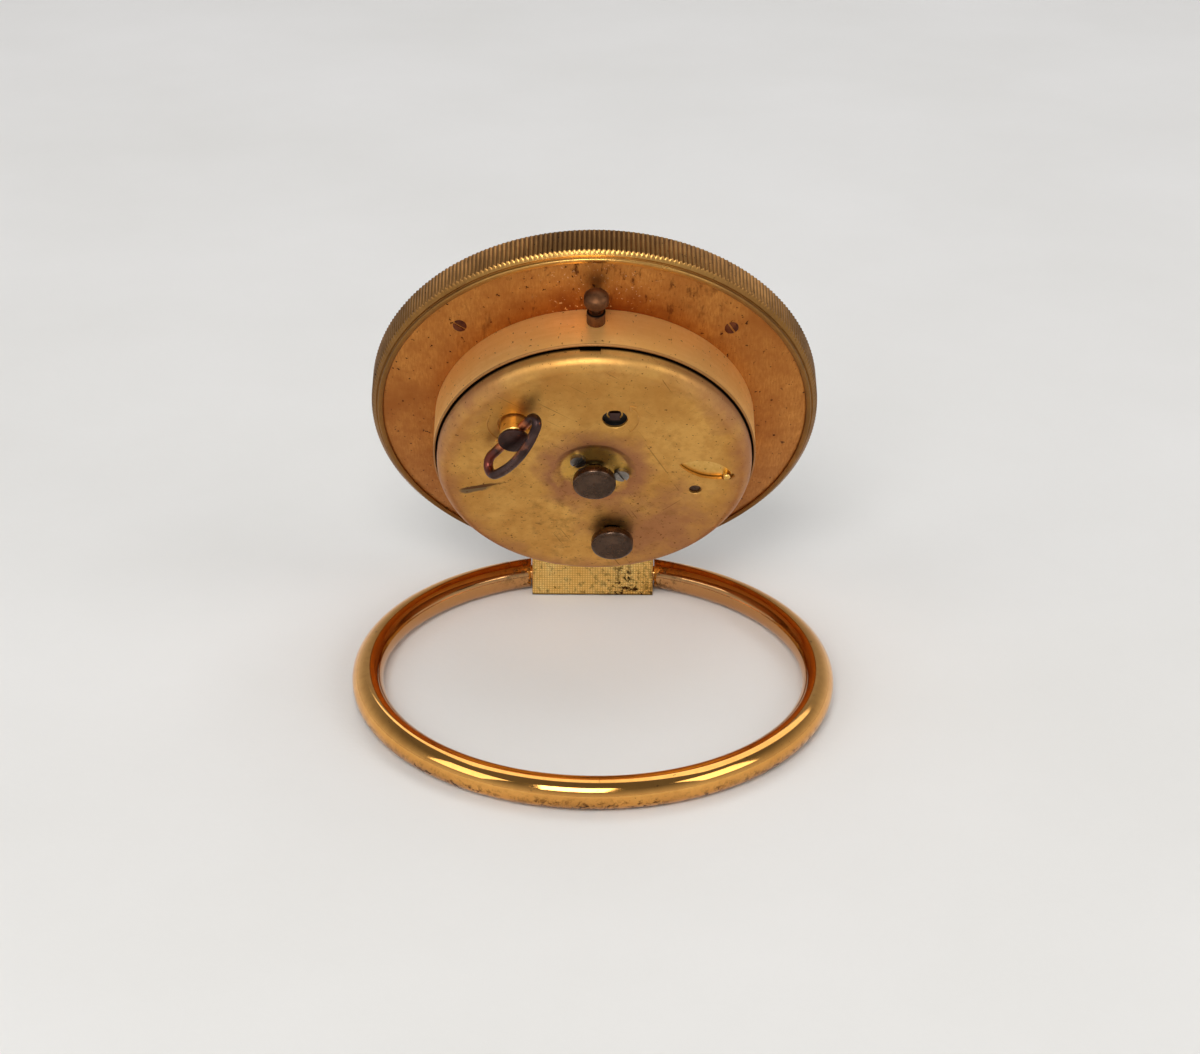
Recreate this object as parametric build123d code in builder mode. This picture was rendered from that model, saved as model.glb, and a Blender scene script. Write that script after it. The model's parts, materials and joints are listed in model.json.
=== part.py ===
from build123d import *
import math
import os

# Stand and pose on the table
head_lean = 23.6
ring_overhang = 1.7
tube_radius = 2.9
pivot_behind_flange = 4.4
block_width = 24.2
block_side_gap = 0.3
block_rear = 4.45
block_height = 9.4
block_front_toe = 3.4
block_corner = 0.5
pivot_pin_radius = 1.5
pivot_pin_in_block = 6.0
pivot_pin_in_ring = 2.6
running_gap = 0.05

# Round head, all depths counted backwards from the rear face of the flange at the sleeve
ridge_count = 300
ridge_height = 0.35
ridge_band_wall = 0.6
ridge_front = -8.3
ridge_rear = -2.9
bezel_front = -9.0
bezel_front_chamfer = 1.0
bezel_lip_width = 3.4
bezel_lip_edge = 0.2
bezel_wall_inset = 1.0
bead_crest = -1.55
bead_width = 1.0
bead_edge = 0.2
groove_depth = -2.25
groove_width = 0.35
rear_chamfer_width = 0.55
flange_width = 10.0
flange_fall = 1.9
flange_thickness = 1.0
flange_screw_inset = 4.9
flange_screw_head_radius = 1.3
flange_screw_head_height = 0.7
flange_screw_shank_radius = 0.7
flange_screw_length = 2.1
flange_screw_angles = (45, 135, 225, 315)
flange_slot_angles = (75, 195, 315, 75)
screw_slot_width = 0.4
screw_slot_depth = 0.35
glass_edge_front = -7.9
glass_thickness = 1.2
glass_rise = 2.0
glass_side_gap = 0.2
glass_lip_gap = 0.4
dome_flat = 0.5
dome_half_share = 0.75
dial_thickness = 0.6
dial_rear = -3.1
dial_hole_radius = 2.35
spacer_front_margin = 0.2
spacer_rear_margin = 0.9
seat_inner_margin = 2.6
seat_outer_margin = 1.8

# Drum behind the flange
barrel_side_room = 1.05
sleeve_wall = 0.5
sleeve_short = 2.5
sleeve_edge = 0.2
cover_gap = 0.25
cover_wall = 0.6
cover_room = 1.4
cover_overlap = 2.0
cover_round = 2.5
dish_floor_radius = 6.5
dish_mouth_radius = 7.8
cover_screw_places = ((-3.1, 3.0), (5.1, -0.8))
cover_slot_angles = (60, 120)
cover_screw_head_radius = 1.45
cover_screw_head_height = 0.9
cover_screw_shank_radius = 0.7
cover_screw_length = 1.6
centre_hole_radius = 2.9
alarm_hole_radius = 2.7
key_hole_radius = 3.0
winder_hole_radius = 2.3
balance_hole_radius = 1.15
window_left = (15.8, 2.5)
window_right = (26.5, -0.8)
window_top = (20.9, 3.6)
window_bottom = (20.6, -1.1)
window_end_radius = 1.15

# Movement plates, between the dial and the cover
front_plate_front = 0.2
plate_thickness = 1.2
back_plate_gap = 0.65
pillar_radius = 1.5
pillar_end_radius = 0.9
pillar_inset = 2.9
pillar_angles = (60, 112, 205, 285)
arbor_radius = 0.5
arbor_end_play = 0.1

# Places of the arbors, seen from behind
barrel_place = (-14.8, 13.3)
winder_place = (3.6, 14.9)
alarm_place = (3.6, -17.8)
balance_place = (19.1, -4.6)
lever_place = (18.2, -11.5)
third_angle = -30
fourth_angle = -70
escape_angle = -40
minute_angle = 200

# Gear teeth, as shares of the module and of the tooth pitch
wheel_tip_share = 0.8
pinion_tip_share = 0.5
root_share = 1.25
wheel_tooth_shares = (0.48, 0.42, 0.16)
pinion_leaf_shares = (0.36, 0.34, 0.18)

# Going train: teeth, modules and levels
barrel_teeth = 70
barrel_module = 0.25
barrel_pinion_leaves = 14
centre_drive_teeth = 58
centre_drive_module = 0.3
centre_pinion_leaves = 12
centre_wheel_teeth = 64
centre_wheel_module = 0.25
third_pinion_leaves = 8
third_wheel_teeth = 60
third_wheel_module = 0.22
fourth_pinion_leaves = 8
fourth_wheel_teeth = 64
fourth_wheel_module = 0.2
escape_pinion_leaves = 8
escape_teeth = 15
escape_radius = 4.0
escape_tooth_height = 1.1
escape_tooth_shares = (-0.3, 0.2, 0.3)
wheel_thickness = 0.5
pinion_overlap = 0.25
barrel_lift = 2.0
centre_drive_lift = 0.6
centre_wheel_lift = 6.0
third_wheel_lift = 4.4
fourth_wheel_lift = 0.8
escape_lift = 3.0
barrel_wheel_thickness = 0.8
barrel_drum_radius = 8.0
barrel_drum_height = 5.0
barrel_wall = 0.5
barrel_arbor_radius = 1.2
mainspring_turns = 7
spring_turn_points = 24
mainspring_thickness = 0.25
mainspring_inner_radius = 2.2
mainspring_outer_radius = 7.3
alarm_barrel_radius = 6.6
alarm_barrel_lift = 1.6
alarm_barrel_height = 6.0
alarm_barrel_play = 1.3
winder_square = 1.9
winder_sink = 0.7
ratchet_radius = 5.0
ratchet_teeth = 24
ratchet_tooth_height = 0.7
ratchet_gap = 0.1
ratchet_thickness = 0.6
click_angle = 250
click_tip_turn = 40
click_heel_turn = 38
click_reach = 7.6
click_pad_radius = 1.1
click_clearance = 0.25
lever_thickness = 0.5
lever_pad_radius = 0.9
lever_arm_width = 0.8
lever_pallet_spread = 42
lever_pallet_radius = 0.3
lever_gap = 0.35
balance_radius = 6.0
balance_rim_width = 0.9
balance_thickness = 0.8
balance_lift = 6.0
balance_spoke_width = 0.8
balance_roller_radius = 1.2
regulator_boss_radius = 1.5
regulator_boss_height = 0.65
regulator_ring_width = 1.0
regulator_thickness = 0.5
regulator_reach = 7.0
regulator_angle = 34
regulator_plate_radius = 8.5
regulator_plate_angles = (-20, 122)
regulator_pin_radius = 0.75
regulator_pin_rise = 0.6
regulator_pin_round_share = 0.8
regulator_gap = 0.15

# Motion work under the dial
cannon_leaves = 12
minute_teeth = 36
minute_module = 0.25
minute_leaves = 10
hour_teeth = 40
hour_module = 0.24
cannon_level = -1.1
hour_level = -1.95
alarm_level = -2.9
motion_thickness = 0.45
centre_arbor_radius = 0.9
pipe_wall = 0.55
pipe_gap = 0.08
alarm_teeth = 60
alarm_pinion_leaves = 30
alarm_arbor_radius = 0.9
minute_stud_radius = 0.6

# Hands
hand_thickness = 0.3
hand_hub_margin = 0.8
minute_hand_level = -6.0
hour_hand_level = -5.3
alarm_hand_level = -4.6
minute_hand_length = 30.0
hour_hand_length = 20.5
alarm_hand_length = 17.0
minute_hand_width = 1.8
hour_hand_width = 2.4
alarm_hand_width = 1.2
hand_tail = 5.0
hand_tip_share = 0.35
minute_hand_angle = 150
hour_hand_angle = 35
alarm_hand_angle = -90

# Knobs and key
knob_radius = 4.05
knob_neck_radius = 2.5
knob_stem_radius = 2.2
knob_stem_sink = 0.6
knob_neck_rise = 0.5
knob_shoulder_rise = 1.5
knob_rim_rise = 2.9
knob_face_rise = 3.4
knob_face_radius = 3.5
knob_bore_rise = 2.4
key_stem_radius = 2.6
key_stem_sink = 0.6
key_head_radius = 2.9
key_head_thickness = 0.8
key_head_rise = 4.2
key_pivot_rise = 2.4
key_pivot_angle = 53.5
key_bore_rise = 0.3
bail_wire_radius = 0.9
bail_length = 17.1
bail_narrow_radius = 1.2
bail_wide_radius = 2.0
bail_bow_radius = 16.0
bail_slide = 1.3
bail_raise = 68

# Alarm stop plunger on top of the drum
stop_depth = 3.0
stop_bush_radius = 1.7
stop_bush_rise = 2.6
stop_bush_shank_radius = 1.2
stop_bush_depth = 1.5
stop_stem_radius = 0.8
stop_stem_depth = 5.8
stop_neck_radius = 1.15
stop_neck_flare = 0.4
stop_head_gap = 1.6
stop_head_height = 3.0
stop_head_radius = 2.25
stop_head_edge = 0.5
stop_dome = 0.6

# Screws of the foot block
foot_screw_offset = 6.5
foot_screw_inset = 4.0
foot_screw_radius = 0.8
foot_screw_head_radius = 1.4
foot_screw_head_height = 0.5
foot_screw_length = 5.5

# Depths of the movement and of what stands behind it
plate_gap_front = front_plate_front + plate_thickness
barrel_level = plate_gap_front + barrel_lift
centre_drive_level = plate_gap_front + centre_drive_lift
centre_wheel_level = plate_gap_front + centre_wheel_lift
third_wheel_level = plate_gap_front + third_wheel_lift
fourth_wheel_level = plate_gap_front + fourth_wheel_lift
escape_level = plate_gap_front + escape_lift
balance_level = plate_gap_front + balance_lift
barrel_drum_rear = barrel_level + barrel_drum_height
alarm_barrel_front = plate_gap_front + alarm_barrel_lift
alarm_barrel_rear = alarm_barrel_front + alarm_barrel_height
plate_gap_rear = alarm_barrel_rear + alarm_barrel_play
back_plate_rear = plate_gap_rear + plate_thickness
ratchet_level = back_plate_rear + ratchet_gap
sleeve_length = back_plate_rear - sleeve_short
cover_front = sleeve_length - cover_overlap
cover_rear = back_plate_rear + cover_room
dish_floor = back_plate_rear + cover_wall
winder_end = cover_rear - winder_sink
regulator_pin_rear = cover_rear + regulator_pin_rise
knob_stem_front = cover_rear - knob_stem_sink
knob_neck = cover_rear + knob_neck_rise
knob_shoulder = cover_rear + knob_shoulder_rise
knob_rim = cover_rear + knob_rim_rise
knob_face = cover_rear + knob_face_rise
knob_bore_end = cover_rear + knob_bore_rise
key_stem_front = cover_rear - key_stem_sink
key_head_rear = cover_rear + key_head_rise
key_pivot_level = cover_rear + key_pivot_rise
key_bore_end = cover_rear + key_bore_rise
dial_front = dial_rear - dial_thickness
glass_rear = glass_edge_front + glass_thickness

# Radii of the head, outwards from the going barrel, which the drum has to clear
barrel_tip_radius = barrel_module * (barrel_teeth / 2 + wheel_tip_share)
sleeve_inner = math.hypot(*barrel_place) + barrel_tip_radius + barrel_side_room
sleeve_radius = sleeve_inner + sleeve_wall
cover_radius = sleeve_inner - cover_gap
front_plate_radius = sleeve_inner
back_plate_radius = cover_radius - cover_wall - back_plate_gap
pillar_circle = back_plate_radius - pillar_inset
flange_outer_radius = sleeve_radius + flange_width
flange_screw_circle = sleeve_radius + flange_screw_inset
seat_inner_radius = sleeve_radius + seat_inner_margin
seat_outer_radius = flange_outer_radius - seat_outer_margin
bezel_inner_radius = flange_outer_radius - bezel_wall_inset
bezel_opening_radius = flange_outer_radius - bezel_lip_width
spacer_inner_front = bezel_opening_radius + spacer_front_margin
spacer_inner_rear = bezel_opening_radius + spacer_rear_margin
bead_outer = flange_outer_radius + bead_width
ridge_root = bead_outer + groove_width + rear_chamfer_width
rim_radius = ridge_root + ridge_height
ring_radius = flange_outer_radius + ring_overhang
stop_bush_top = sleeve_radius + stop_bush_rise
stop_bush_bottom = sleeve_radius - stop_bush_depth
stop_stem_bottom = sleeve_radius - stop_stem_depth
stop_head_bottom = stop_bush_top + stop_head_gap
stop_head_top = stop_head_bottom + stop_head_height
foot_screw_drop = flange_outer_radius - foot_screw_inset
flange_slope = flange_fall / flange_width

# Derived places of the head on the table
ring_end = block_width / 2 + block_side_gap
pivot_reach = math.sqrt(ring_radius**2 - ring_end**2)
lean_sin = math.sin(math.radians(head_lean))
lean_cos = math.cos(math.radians(head_lean))
back_normal = (0, lean_cos, -lean_sin)
head_y = pivot_reach * lean_sin - pivot_behind_flange * lean_cos
head_z = tube_radius + pivot_reach * lean_cos + pivot_behind_flange * lean_sin
head = Plane(origin=(0, head_y, head_z), x_dir=(-1, 0, 0), z_dir=back_normal)


def flange_depth(radius):
    """Depth of the flange's rear face at a radius."""
    return -flange_slope * (radius - sleeve_radius)


def seat(x, y, depth):
    """Plane across the head's axis at a place and a depth."""
    return Plane(origin=head.from_local_coords((x, y, depth)), x_dir=head.x_dir, z_dir=head.z_dir)


def turned_seat(x, y, depth, angle):
    """Plane across the head's axis, turned about that axis."""
    turn = math.radians(angle)
    x_dir = head.x_dir * math.cos(turn) + head.y_dir * math.sin(turn)
    return Plane(origin=head.from_local_coords((x, y, depth)), x_dir=x_dir, z_dir=head.z_dir)


def lathe_plane(x, y):
    """Plane through the line along the head's axis at x, y, with radius and depth as its axes."""
    return Plane(origin=head.from_local_coords((x, y, 0)), x_dir=head.x_dir, z_dir=-head.y_dir)


def lathe_axis(x, y):
    """Line along the head's axis at x, y."""
    return Axis(head.from_local_coords((x, y, 0)), head.z_dir)


def polar(reach, angle):
    """Place at a distance and an angle from the head's centre."""
    return (reach * math.cos(math.radians(angle)), reach * math.sin(math.radians(angle)))


def stepped(place, reach, angle):
    """Place at a distance and an angle from another place."""
    step = polar(reach, angle)
    return (place[0] + step[0], place[1] + step[1])


def bearing(start, end):
    """Angle of the line from one place to another."""
    return math.degrees(math.atan2(end[1] - start[1], end[0] - start[0]))


def meeting_place(first, first_reach, second, second_reach):
    """Place at given distances from two others, on the left of the line from the first."""
    span = math.dist(first, second)
    along = (first_reach**2 - second_reach**2 + span**2) / (2 * span)
    turn = math.degrees(math.acos(along / first_reach))
    return stepped(first, first_reach, bearing(first, second) + turn)


def polygon_face(plane, points):
    """Flat face with straight sides."""
    with BuildSketch(plane) as face:
        with BuildLine():
            Polyline(*points, close=True)
        make_face()
    return face.sketch


def round_face(plane, radius, hole_radius=0):
    """Disc, or a ring when it has a hole."""
    with BuildSketch(plane) as face:
        Circle(radius)
        if hole_radius:
            Circle(hole_radius, mode=Mode.SUBTRACT)
    return face.sketch


def turned(profile, x=0, y=0):
    """Body of revolution from a profile of (radius, depth) points."""
    with BuildPart() as body:
        revolve(polygon_face(lathe_plane(x, y), profile), axis=lathe_axis(x, y))
    return body.part


def rod(place, radius, front, rear, hole_radius=0):
    """Straight round rod or tube along the head's axis."""
    with BuildPart() as body:
        extrude(round_face(seat(*place, front), radius, hole_radius), amount=rear - front)
    return body.part


def tooth_points(teeth, pitch_radius, tip_radius, root_radius, shares, phase):
    """Outline of a toothed wheel, with the middle of one tooth at the phase angle."""
    points = []
    pitch = 360 / teeth
    for tooth in range(teeth):
        middle = phase + tooth * pitch
        rising = [(root_radius, -shares[0]), (pitch_radius, -shares[1]), (tip_radius, -shares[2])]
        falling = [(tip_radius, shares[2]), (pitch_radius, shares[1]), (root_radius, shares[0])]
        for radius, share in rising + falling:
            points.append(polar(radius, middle + share * pitch / 2))
    return points


def gear(place, teeth, module, front, rear, phase, hole_radius, leaves=False):
    """Flat wheel, or a pinion when it has leaves."""
    tip_share = pinion_tip_share if leaves else wheel_tip_share
    shares = pinion_leaf_shares if leaves else wheel_tooth_shares
    radius = teeth * module / 2
    points = tooth_points(teeth, radius, radius + tip_share * module, radius - root_share * module,
                          shares, phase)
    with BuildPart() as body:
        extrude(polygon_face(seat(*place, front), points), amount=rear - front)
        if hole_radius:
            extrude(round_face(seat(*place, front), hole_radius), amount=rear - front, mode=Mode.SUBTRACT)
    return body.part


def mesh_phase(driver_phase, driver_teeth, teeth, direction):
    """Phase that puts a gap of the driven wheel at the driver's tooth."""
    return direction + 180 - (driver_phase - direction) * driver_teeth / teeth + 180 / teeth


def slot_cut(place, depth, radius, angle):
    """Bar that cuts a screwdriver slot into a head whose top is at the depth."""
    with BuildPart() as bar:
        with BuildSketch(seat(*place, depth)):
            Rectangle(2 * radius, screw_slot_width, rotation=angle)
        extrude(amount=-screw_slot_depth)
    return bar.part


os.makedirs("parts", exist_ok=True)

# Bezel with a ridged edge
with BuildPart() as bezel:
    bezel_profile = [
        (flange_outer_radius, flange_depth(flange_outer_radius) - flange_thickness),
        (flange_outer_radius, bead_crest - bead_edge),
        (flange_outer_radius + bead_edge, bead_crest),
        (bead_outer - bead_edge, bead_crest),
        (bead_outer, bead_crest - bead_edge),
        (bead_outer, groove_depth),
        (bead_outer + groove_width, groove_depth),
        (ridge_root, ridge_rear),
        (ridge_root, ridge_front),
        (ridge_root - bezel_front_chamfer, bezel_front),
        (bezel_opening_radius + bezel_lip_edge, bezel_front),
        (bezel_opening_radius, bezel_front + bezel_lip_edge),
        (bezel_opening_radius, glass_edge_front),
        (bezel_inner_radius, glass_edge_front),
        (bezel_inner_radius, flange_depth(flange_outer_radius) - flange_thickness),
    ]
    revolve(polygon_face(lathe_plane(0, 0), bezel_profile), axis=lathe_axis(0, 0))
    ridge_points = []
    for ridge in range(ridge_count):
        ridge_points.append(polar(ridge_root, 360 * ridge / ridge_count))
        ridge_points.append(polar(rim_radius, 360 * (ridge + 0.5) / ridge_count))
    with BuildSketch(seat(0, 0, ridge_front)):
        with BuildLine():
            Polyline(*ridge_points, close=True)
        make_face()
        Circle(ridge_root - ridge_band_wall, mode=Mode.SUBTRACT)
    extrude(amount=ridge_rear - ridge_front)
bezel.part.label = "bezel"
export_step(bezel.part, "parts/bezel.step")

# Domed glass
with BuildPart() as glass:
    glass_radius = bezel_inner_radius - glass_side_gap
    glass_dome_radius = bezel_opening_radius - glass_lip_gap
    with BuildSketch(lathe_plane(0, 0)):
        with BuildLine():
            dome_front = glass_edge_front - glass_rise
            dome_rear = glass_rear - glass_rise
            half_way = glass_dome_radius / 2
            half_rise = glass_rise * dome_half_share
            Line((0, dome_front), (dome_flat, dome_front))
            ThreePointArc((dome_flat, dome_front), (half_way, glass_edge_front - half_rise),
                          (glass_dome_radius, glass_edge_front))
            Line((glass_dome_radius, glass_edge_front), (glass_radius, glass_edge_front))
            Line((glass_radius, glass_edge_front), (glass_radius, glass_rear))
            Line((glass_radius, glass_rear), (glass_dome_radius, glass_rear))
            ThreePointArc((glass_dome_radius, glass_rear), (half_way, glass_rear - half_rise),
                          (dome_flat, dome_rear))
            Line((dome_flat, dome_rear), (0, dome_rear))
            Line((0, dome_rear), (0, dome_front))
        make_face()
    revolve(axis=lathe_axis(0, 0))
glass.part.label = "glass"
export_step(glass.part, "parts/glass.step")

# Ring that spaces the dial from the glass
with BuildPart() as glass_ring:
    spacer_outer = bezel_inner_radius - glass_side_gap
    add(turned([(spacer_inner_front, glass_rear), (spacer_outer, glass_rear),
                (spacer_outer, dial_front), (spacer_inner_rear, dial_front)]))
glass_ring.part.label = "glass_ring"
export_step(glass_ring.part, "parts/glass_ring.step")

# Dial
with BuildPart() as dial:
    add(rod((0, 0), bezel_inner_radius - glass_side_gap, dial_front, dial_rear, dial_hole_radius))
dial.part.label = "dial"
export_step(dial.part, "parts/dial.step")

# Flange, the sloping rear plate of the head
flange_screw_places = [polar(flange_screw_circle, angle) for angle in flange_screw_angles]
flange_screw_top = flange_depth(flange_screw_circle)
foot_screw_places = [(foot_screw_offset, -foot_screw_drop), (-foot_screw_offset, -foot_screw_drop)]
foot_screw_reach = math.hypot(foot_screw_offset, foot_screw_drop) + foot_screw_head_radius
foot_screw_seat = flange_depth(foot_screw_reach) - flange_thickness
flange_under = -flange_thickness
with BuildPart() as flange:
    add(turned([(sleeve_radius, flange_under), (sleeve_radius, 0), (flange_outer_radius, -flange_fall),
                (flange_outer_radius, -flange_fall - flange_thickness)]))
    for place in flange_screw_places:
        add(rod(place, flange_screw_head_radius, flange_screw_top - flange_screw_head_height,
                flange_thickness),
            mode=Mode.SUBTRACT)
        add(rod(place, flange_screw_shank_radius, dial_rear, 0), mode=Mode.SUBTRACT)
    for place in foot_screw_places:
        add(rod(place, foot_screw_radius, dial_rear, 0), mode=Mode.SUBTRACT)
flange.part.label = "flange"
export_step(flange.part, "parts/flange.step")

# Ring between the dial and the flange, which takes the flange screws
with BuildPart() as seat_ring:
    add(turned([(seat_inner_radius, dial_rear), (seat_outer_radius, dial_rear),
                (seat_outer_radius, flange_depth(seat_outer_radius) - flange_thickness),
                (seat_inner_radius, flange_depth(seat_inner_radius) - flange_thickness)]))
    for place in flange_screw_places:
        add(rod(place, flange_screw_shank_radius, dial_rear, 0), mode=Mode.SUBTRACT)
    for place in foot_screw_places:
        add(rod(place, foot_screw_head_radius + running_gap, dial_rear, 0), mode=Mode.SUBTRACT)
seat_ring.part.label = "seat_ring"
export_step(seat_ring.part, "parts/seat_ring.step")

# Four flush screws of the flange
for number, place in enumerate(flange_screw_places, 1):
    with BuildPart() as flange_screw:
        add(rod(place, flange_screw_head_radius, flange_screw_top - flange_screw_head_height,
                flange_screw_top))
        add(rod(place, flange_screw_shank_radius, flange_screw_top - flange_screw_length,
                flange_screw_top))
        slot_angle = flange_slot_angles[number - 1]
        add(slot_cut(place, flange_screw_top, flange_screw_head_radius, slot_angle), mode=Mode.SUBTRACT)
    flange_screw.part.label = f"flange_screw_{number}"
    export_step(flange_screw.part, f"parts/flange_screw_{number}.step")

# Sleeve of the drum
stop_axis_plane = Plane(origin=head.from_local_coords((0, 0, stop_depth)), x_dir=head.x_dir,
                        z_dir=head.y_dir)
with BuildPart() as sleeve:
    add(turned([(sleeve_inner, flange_under), (sleeve_radius, flange_under),
                (sleeve_radius, sleeve_length - sleeve_edge),
                (sleeve_radius - sleeve_edge, sleeve_length), (sleeve_inner, sleeve_length)]))
    extrude(round_face(stop_axis_plane.offset(stop_bush_bottom), stop_bush_shank_radius),
            amount=stop_bush_top - stop_bush_bottom, mode=Mode.SUBTRACT)
sleeve.part.label = "sleeve"
export_step(sleeve.part, "parts/sleeve.step")

# Rear cover, a shallow drawn cup with a dished middle
diagonal = math.sqrt(0.5)
regulator_tip = stepped(balance_place, regulator_reach, regulator_angle)
cover_inner = cover_radius - cover_wall
inner_round = cover_round - cover_wall
with BuildPart() as rear_cover:
    with BuildSketch(lathe_plane(0, 0)):
        with BuildLine():
            round_start = (cover_radius - cover_round, cover_rear)
            round_middle = (cover_radius - cover_round * (1 - diagonal),
                            cover_rear - cover_round * (1 - diagonal))
            round_end = (cover_radius, cover_rear - cover_round)
            inner_start = (cover_inner, cover_rear - cover_round)
            inner_middle = (cover_inner - inner_round * (1 - diagonal),
                            cover_rear - cover_wall - inner_round * (1 - diagonal))
            inner_end = (cover_radius - cover_round, cover_rear - cover_wall)
            Polyline((centre_hole_radius, dish_floor), (dish_floor_radius, dish_floor),
                     (dish_mouth_radius, cover_rear), round_start)
            ThreePointArc(round_start, round_middle, round_end)
            Polyline(round_end, (cover_radius, cover_front), (cover_inner, cover_front), inner_start)
            ThreePointArc(inner_start, inner_middle, inner_end)
            Polyline(inner_end, (dish_mouth_radius - cover_wall / 2, cover_rear - cover_wall),
                     (dish_floor_radius - cover_wall / 2, dish_floor - cover_wall),
                     (centre_hole_radius, dish_floor - cover_wall), (centre_hole_radius, dish_floor))
        make_face()
    revolve(axis=lathe_axis(0, 0))
    for place, radius in ((alarm_place, alarm_hole_radius), (barrel_place, key_hole_radius),
                          (winder_place, winder_hole_radius), (balance_place, balance_hole_radius)):
        add(rod(place, radius, cover_front, cover_rear), mode=Mode.SUBTRACT)
    for place in cover_screw_places:
        add(rod(place, cover_screw_shank_radius, cover_front, cover_rear), mode=Mode.SUBTRACT)
    with BuildSketch(seat(0, 0, back_plate_rear)):
        with BuildLine():
            ThreePointArc(window_left, window_top, window_right)
            ThreePointArc(window_right, window_bottom, window_left)
        make_face()
        with Locations(regulator_tip):
            Circle(window_end_radius)
    extrude(amount=cover_rear - back_plate_rear, mode=Mode.SUBTRACT)
rear_cover.part.label = "rear_cover"
export_step(rear_cover.part, "parts/rear_cover.step")

# Two screws that hold the cover on the back plate
for number, place in enumerate(cover_screw_places, 1):
    with BuildPart() as cover_screw:
        head_top = dish_floor + cover_screw_head_height
        add(rod(place, cover_screw_head_radius, dish_floor, head_top))
        add(rod(place, cover_screw_shank_radius, dish_floor - cover_screw_length, head_top))
        slot_angle = cover_slot_angles[number - 1]
        add(slot_cut(place, head_top, cover_screw_head_radius, slot_angle), mode=Mode.SUBTRACT)
    cover_screw.part.label = f"cover_screw_{number}"
    export_step(cover_screw.part, f"parts/cover_screw_{number}.step")

# Foot block that carries the head and the ring
with BuildPart() as foot_block:
    flange_low = head.from_local_coords((0, -flange_outer_radius, -flange_fall))
    flange_high = head.from_local_coords((0, -sleeve_radius - flange_fall, 0))
    with BuildSketch(Plane.YZ.offset(-block_width / 2)):
        with BuildLine():
            Polyline((block_rear, 0), (block_rear, block_height), (flange_high.Y, flange_high.Z),
                     (flange_low.Y, flange_low.Z), (-block_front_toe, 0), close=True)
        make_face()
    extrude(amount=block_width)
    rear_edges = foot_block.faces().sort_by(Axis.Y)[-1].edges()
    fillet(rear_edges, radius=block_corner)
    rim_reach = rim_radius + ring_radius
    add(turned([(0, bezel_front), (rim_reach, bezel_front), (rim_reach, bead_crest + bead_edge),
                (flange_outer_radius - bead_edge, bead_crest + bead_edge),
                (flange_outer_radius - bead_edge, flange_depth(flange_outer_radius - bead_edge)),
                (sleeve_radius, 0), (0, 0)]), mode=Mode.SUBTRACT)
    with BuildSketch(Plane.YZ.offset(-block_width / 2)):
        with Locations((0, tube_radius)):
            Circle(pivot_pin_radius + running_gap)
    extrude(amount=block_width, mode=Mode.SUBTRACT)
    for place in foot_screw_places:
        add(rod(place, foot_screw_radius, foot_screw_seat, foot_screw_seat + foot_screw_length),
            mode=Mode.SUBTRACT)
foot_block.part.label = "foot_block"
export_step(foot_block.part, "parts/foot_block.step")

# Two screws from inside the head into the foot block
for number, place in enumerate(foot_screw_places, 1):
    with BuildPart() as foot_screw:
        add(rod(place, foot_screw_radius, foot_screw_seat, foot_screw_seat + foot_screw_length))
        add(rod(place, foot_screw_head_radius, foot_screw_seat - foot_screw_head_height, foot_screw_seat))
    foot_screw.part.label = f"foot_screw_{number}"
    export_step(foot_screw.part, f"parts/foot_screw_{number}.step")

# Ring of round rod, cut off square beside the block
with BuildPart() as ring_tube:
    start_turn = math.degrees(math.asin(ring_end / ring_radius)) / 2
    with BuildLine() as ring_line:
        CenterArc((0, pivot_reach, tube_radius), ring_radius, -90 + start_turn, 360 - 2 * start_turn)
    with BuildSketch(Plane(origin=ring_line.line @ 0, z_dir=ring_line.line % 0)):
        Circle(tube_radius)
    sweep()
    with Locations((0, 0, tube_radius)):
        Box(2 * ring_end, 2 * ring_radius, 2 * ring_radius, mode=Mode.SUBTRACT)
    with Locations((0, 0, tube_radius)):
        Cylinder(pivot_pin_radius, 2 * (ring_end + pivot_pin_in_ring), rotation=(0, 90, 0),
                 mode=Mode.SUBTRACT)
ring_tube.part.label = "ring_tube"
export_step(ring_tube.part, "parts/ring_tube.step")

# Pivot pins of the ring
pivot_pin_length = pivot_pin_in_block + block_side_gap + pivot_pin_in_ring
for number, side in ((1, 1), (2, -1)):
    with BuildPart() as pivot_pin:
        pin_middle = side * (ring_end + pivot_pin_in_ring - pivot_pin_length / 2)
        with Locations((pin_middle, 0, tube_radius)):
            Cylinder(pivot_pin_radius, pivot_pin_length, rotation=(0, 90, 0))
    pivot_pin.part.label = f"pivot_pin_{number}"
    export_step(pivot_pin.part, f"parts/pivot_pin_{number}.step")

# Places of the going train
barrel_pinion_reach = (barrel_teeth + barrel_pinion_leaves) * barrel_module / 2
centre_drive_reach = (centre_drive_teeth + centre_pinion_leaves) * centre_drive_module / 2
drive_place = meeting_place((0, 0), centre_drive_reach, barrel_place, barrel_pinion_reach)
third_reach = (centre_wheel_teeth + third_pinion_leaves) * centre_wheel_module / 2
third_place = polar(third_reach, third_angle)
fourth_reach = (third_wheel_teeth + fourth_pinion_leaves) * third_wheel_module / 2
fourth_place = stepped(third_place, fourth_reach, fourth_angle)
escape_reach = (fourth_wheel_teeth + escape_pinion_leaves) * fourth_wheel_module / 2
escape_place = stepped(fourth_place, escape_reach, escape_angle)
minute_place = polar((cannon_leaves + minute_teeth) * minute_module / 2, minute_angle)
train_pivots = [drive_place, third_place, fourth_place, escape_place, lever_place, balance_place]
pillar_places = [polar(pillar_circle, angle) for angle in pillar_angles]

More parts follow.
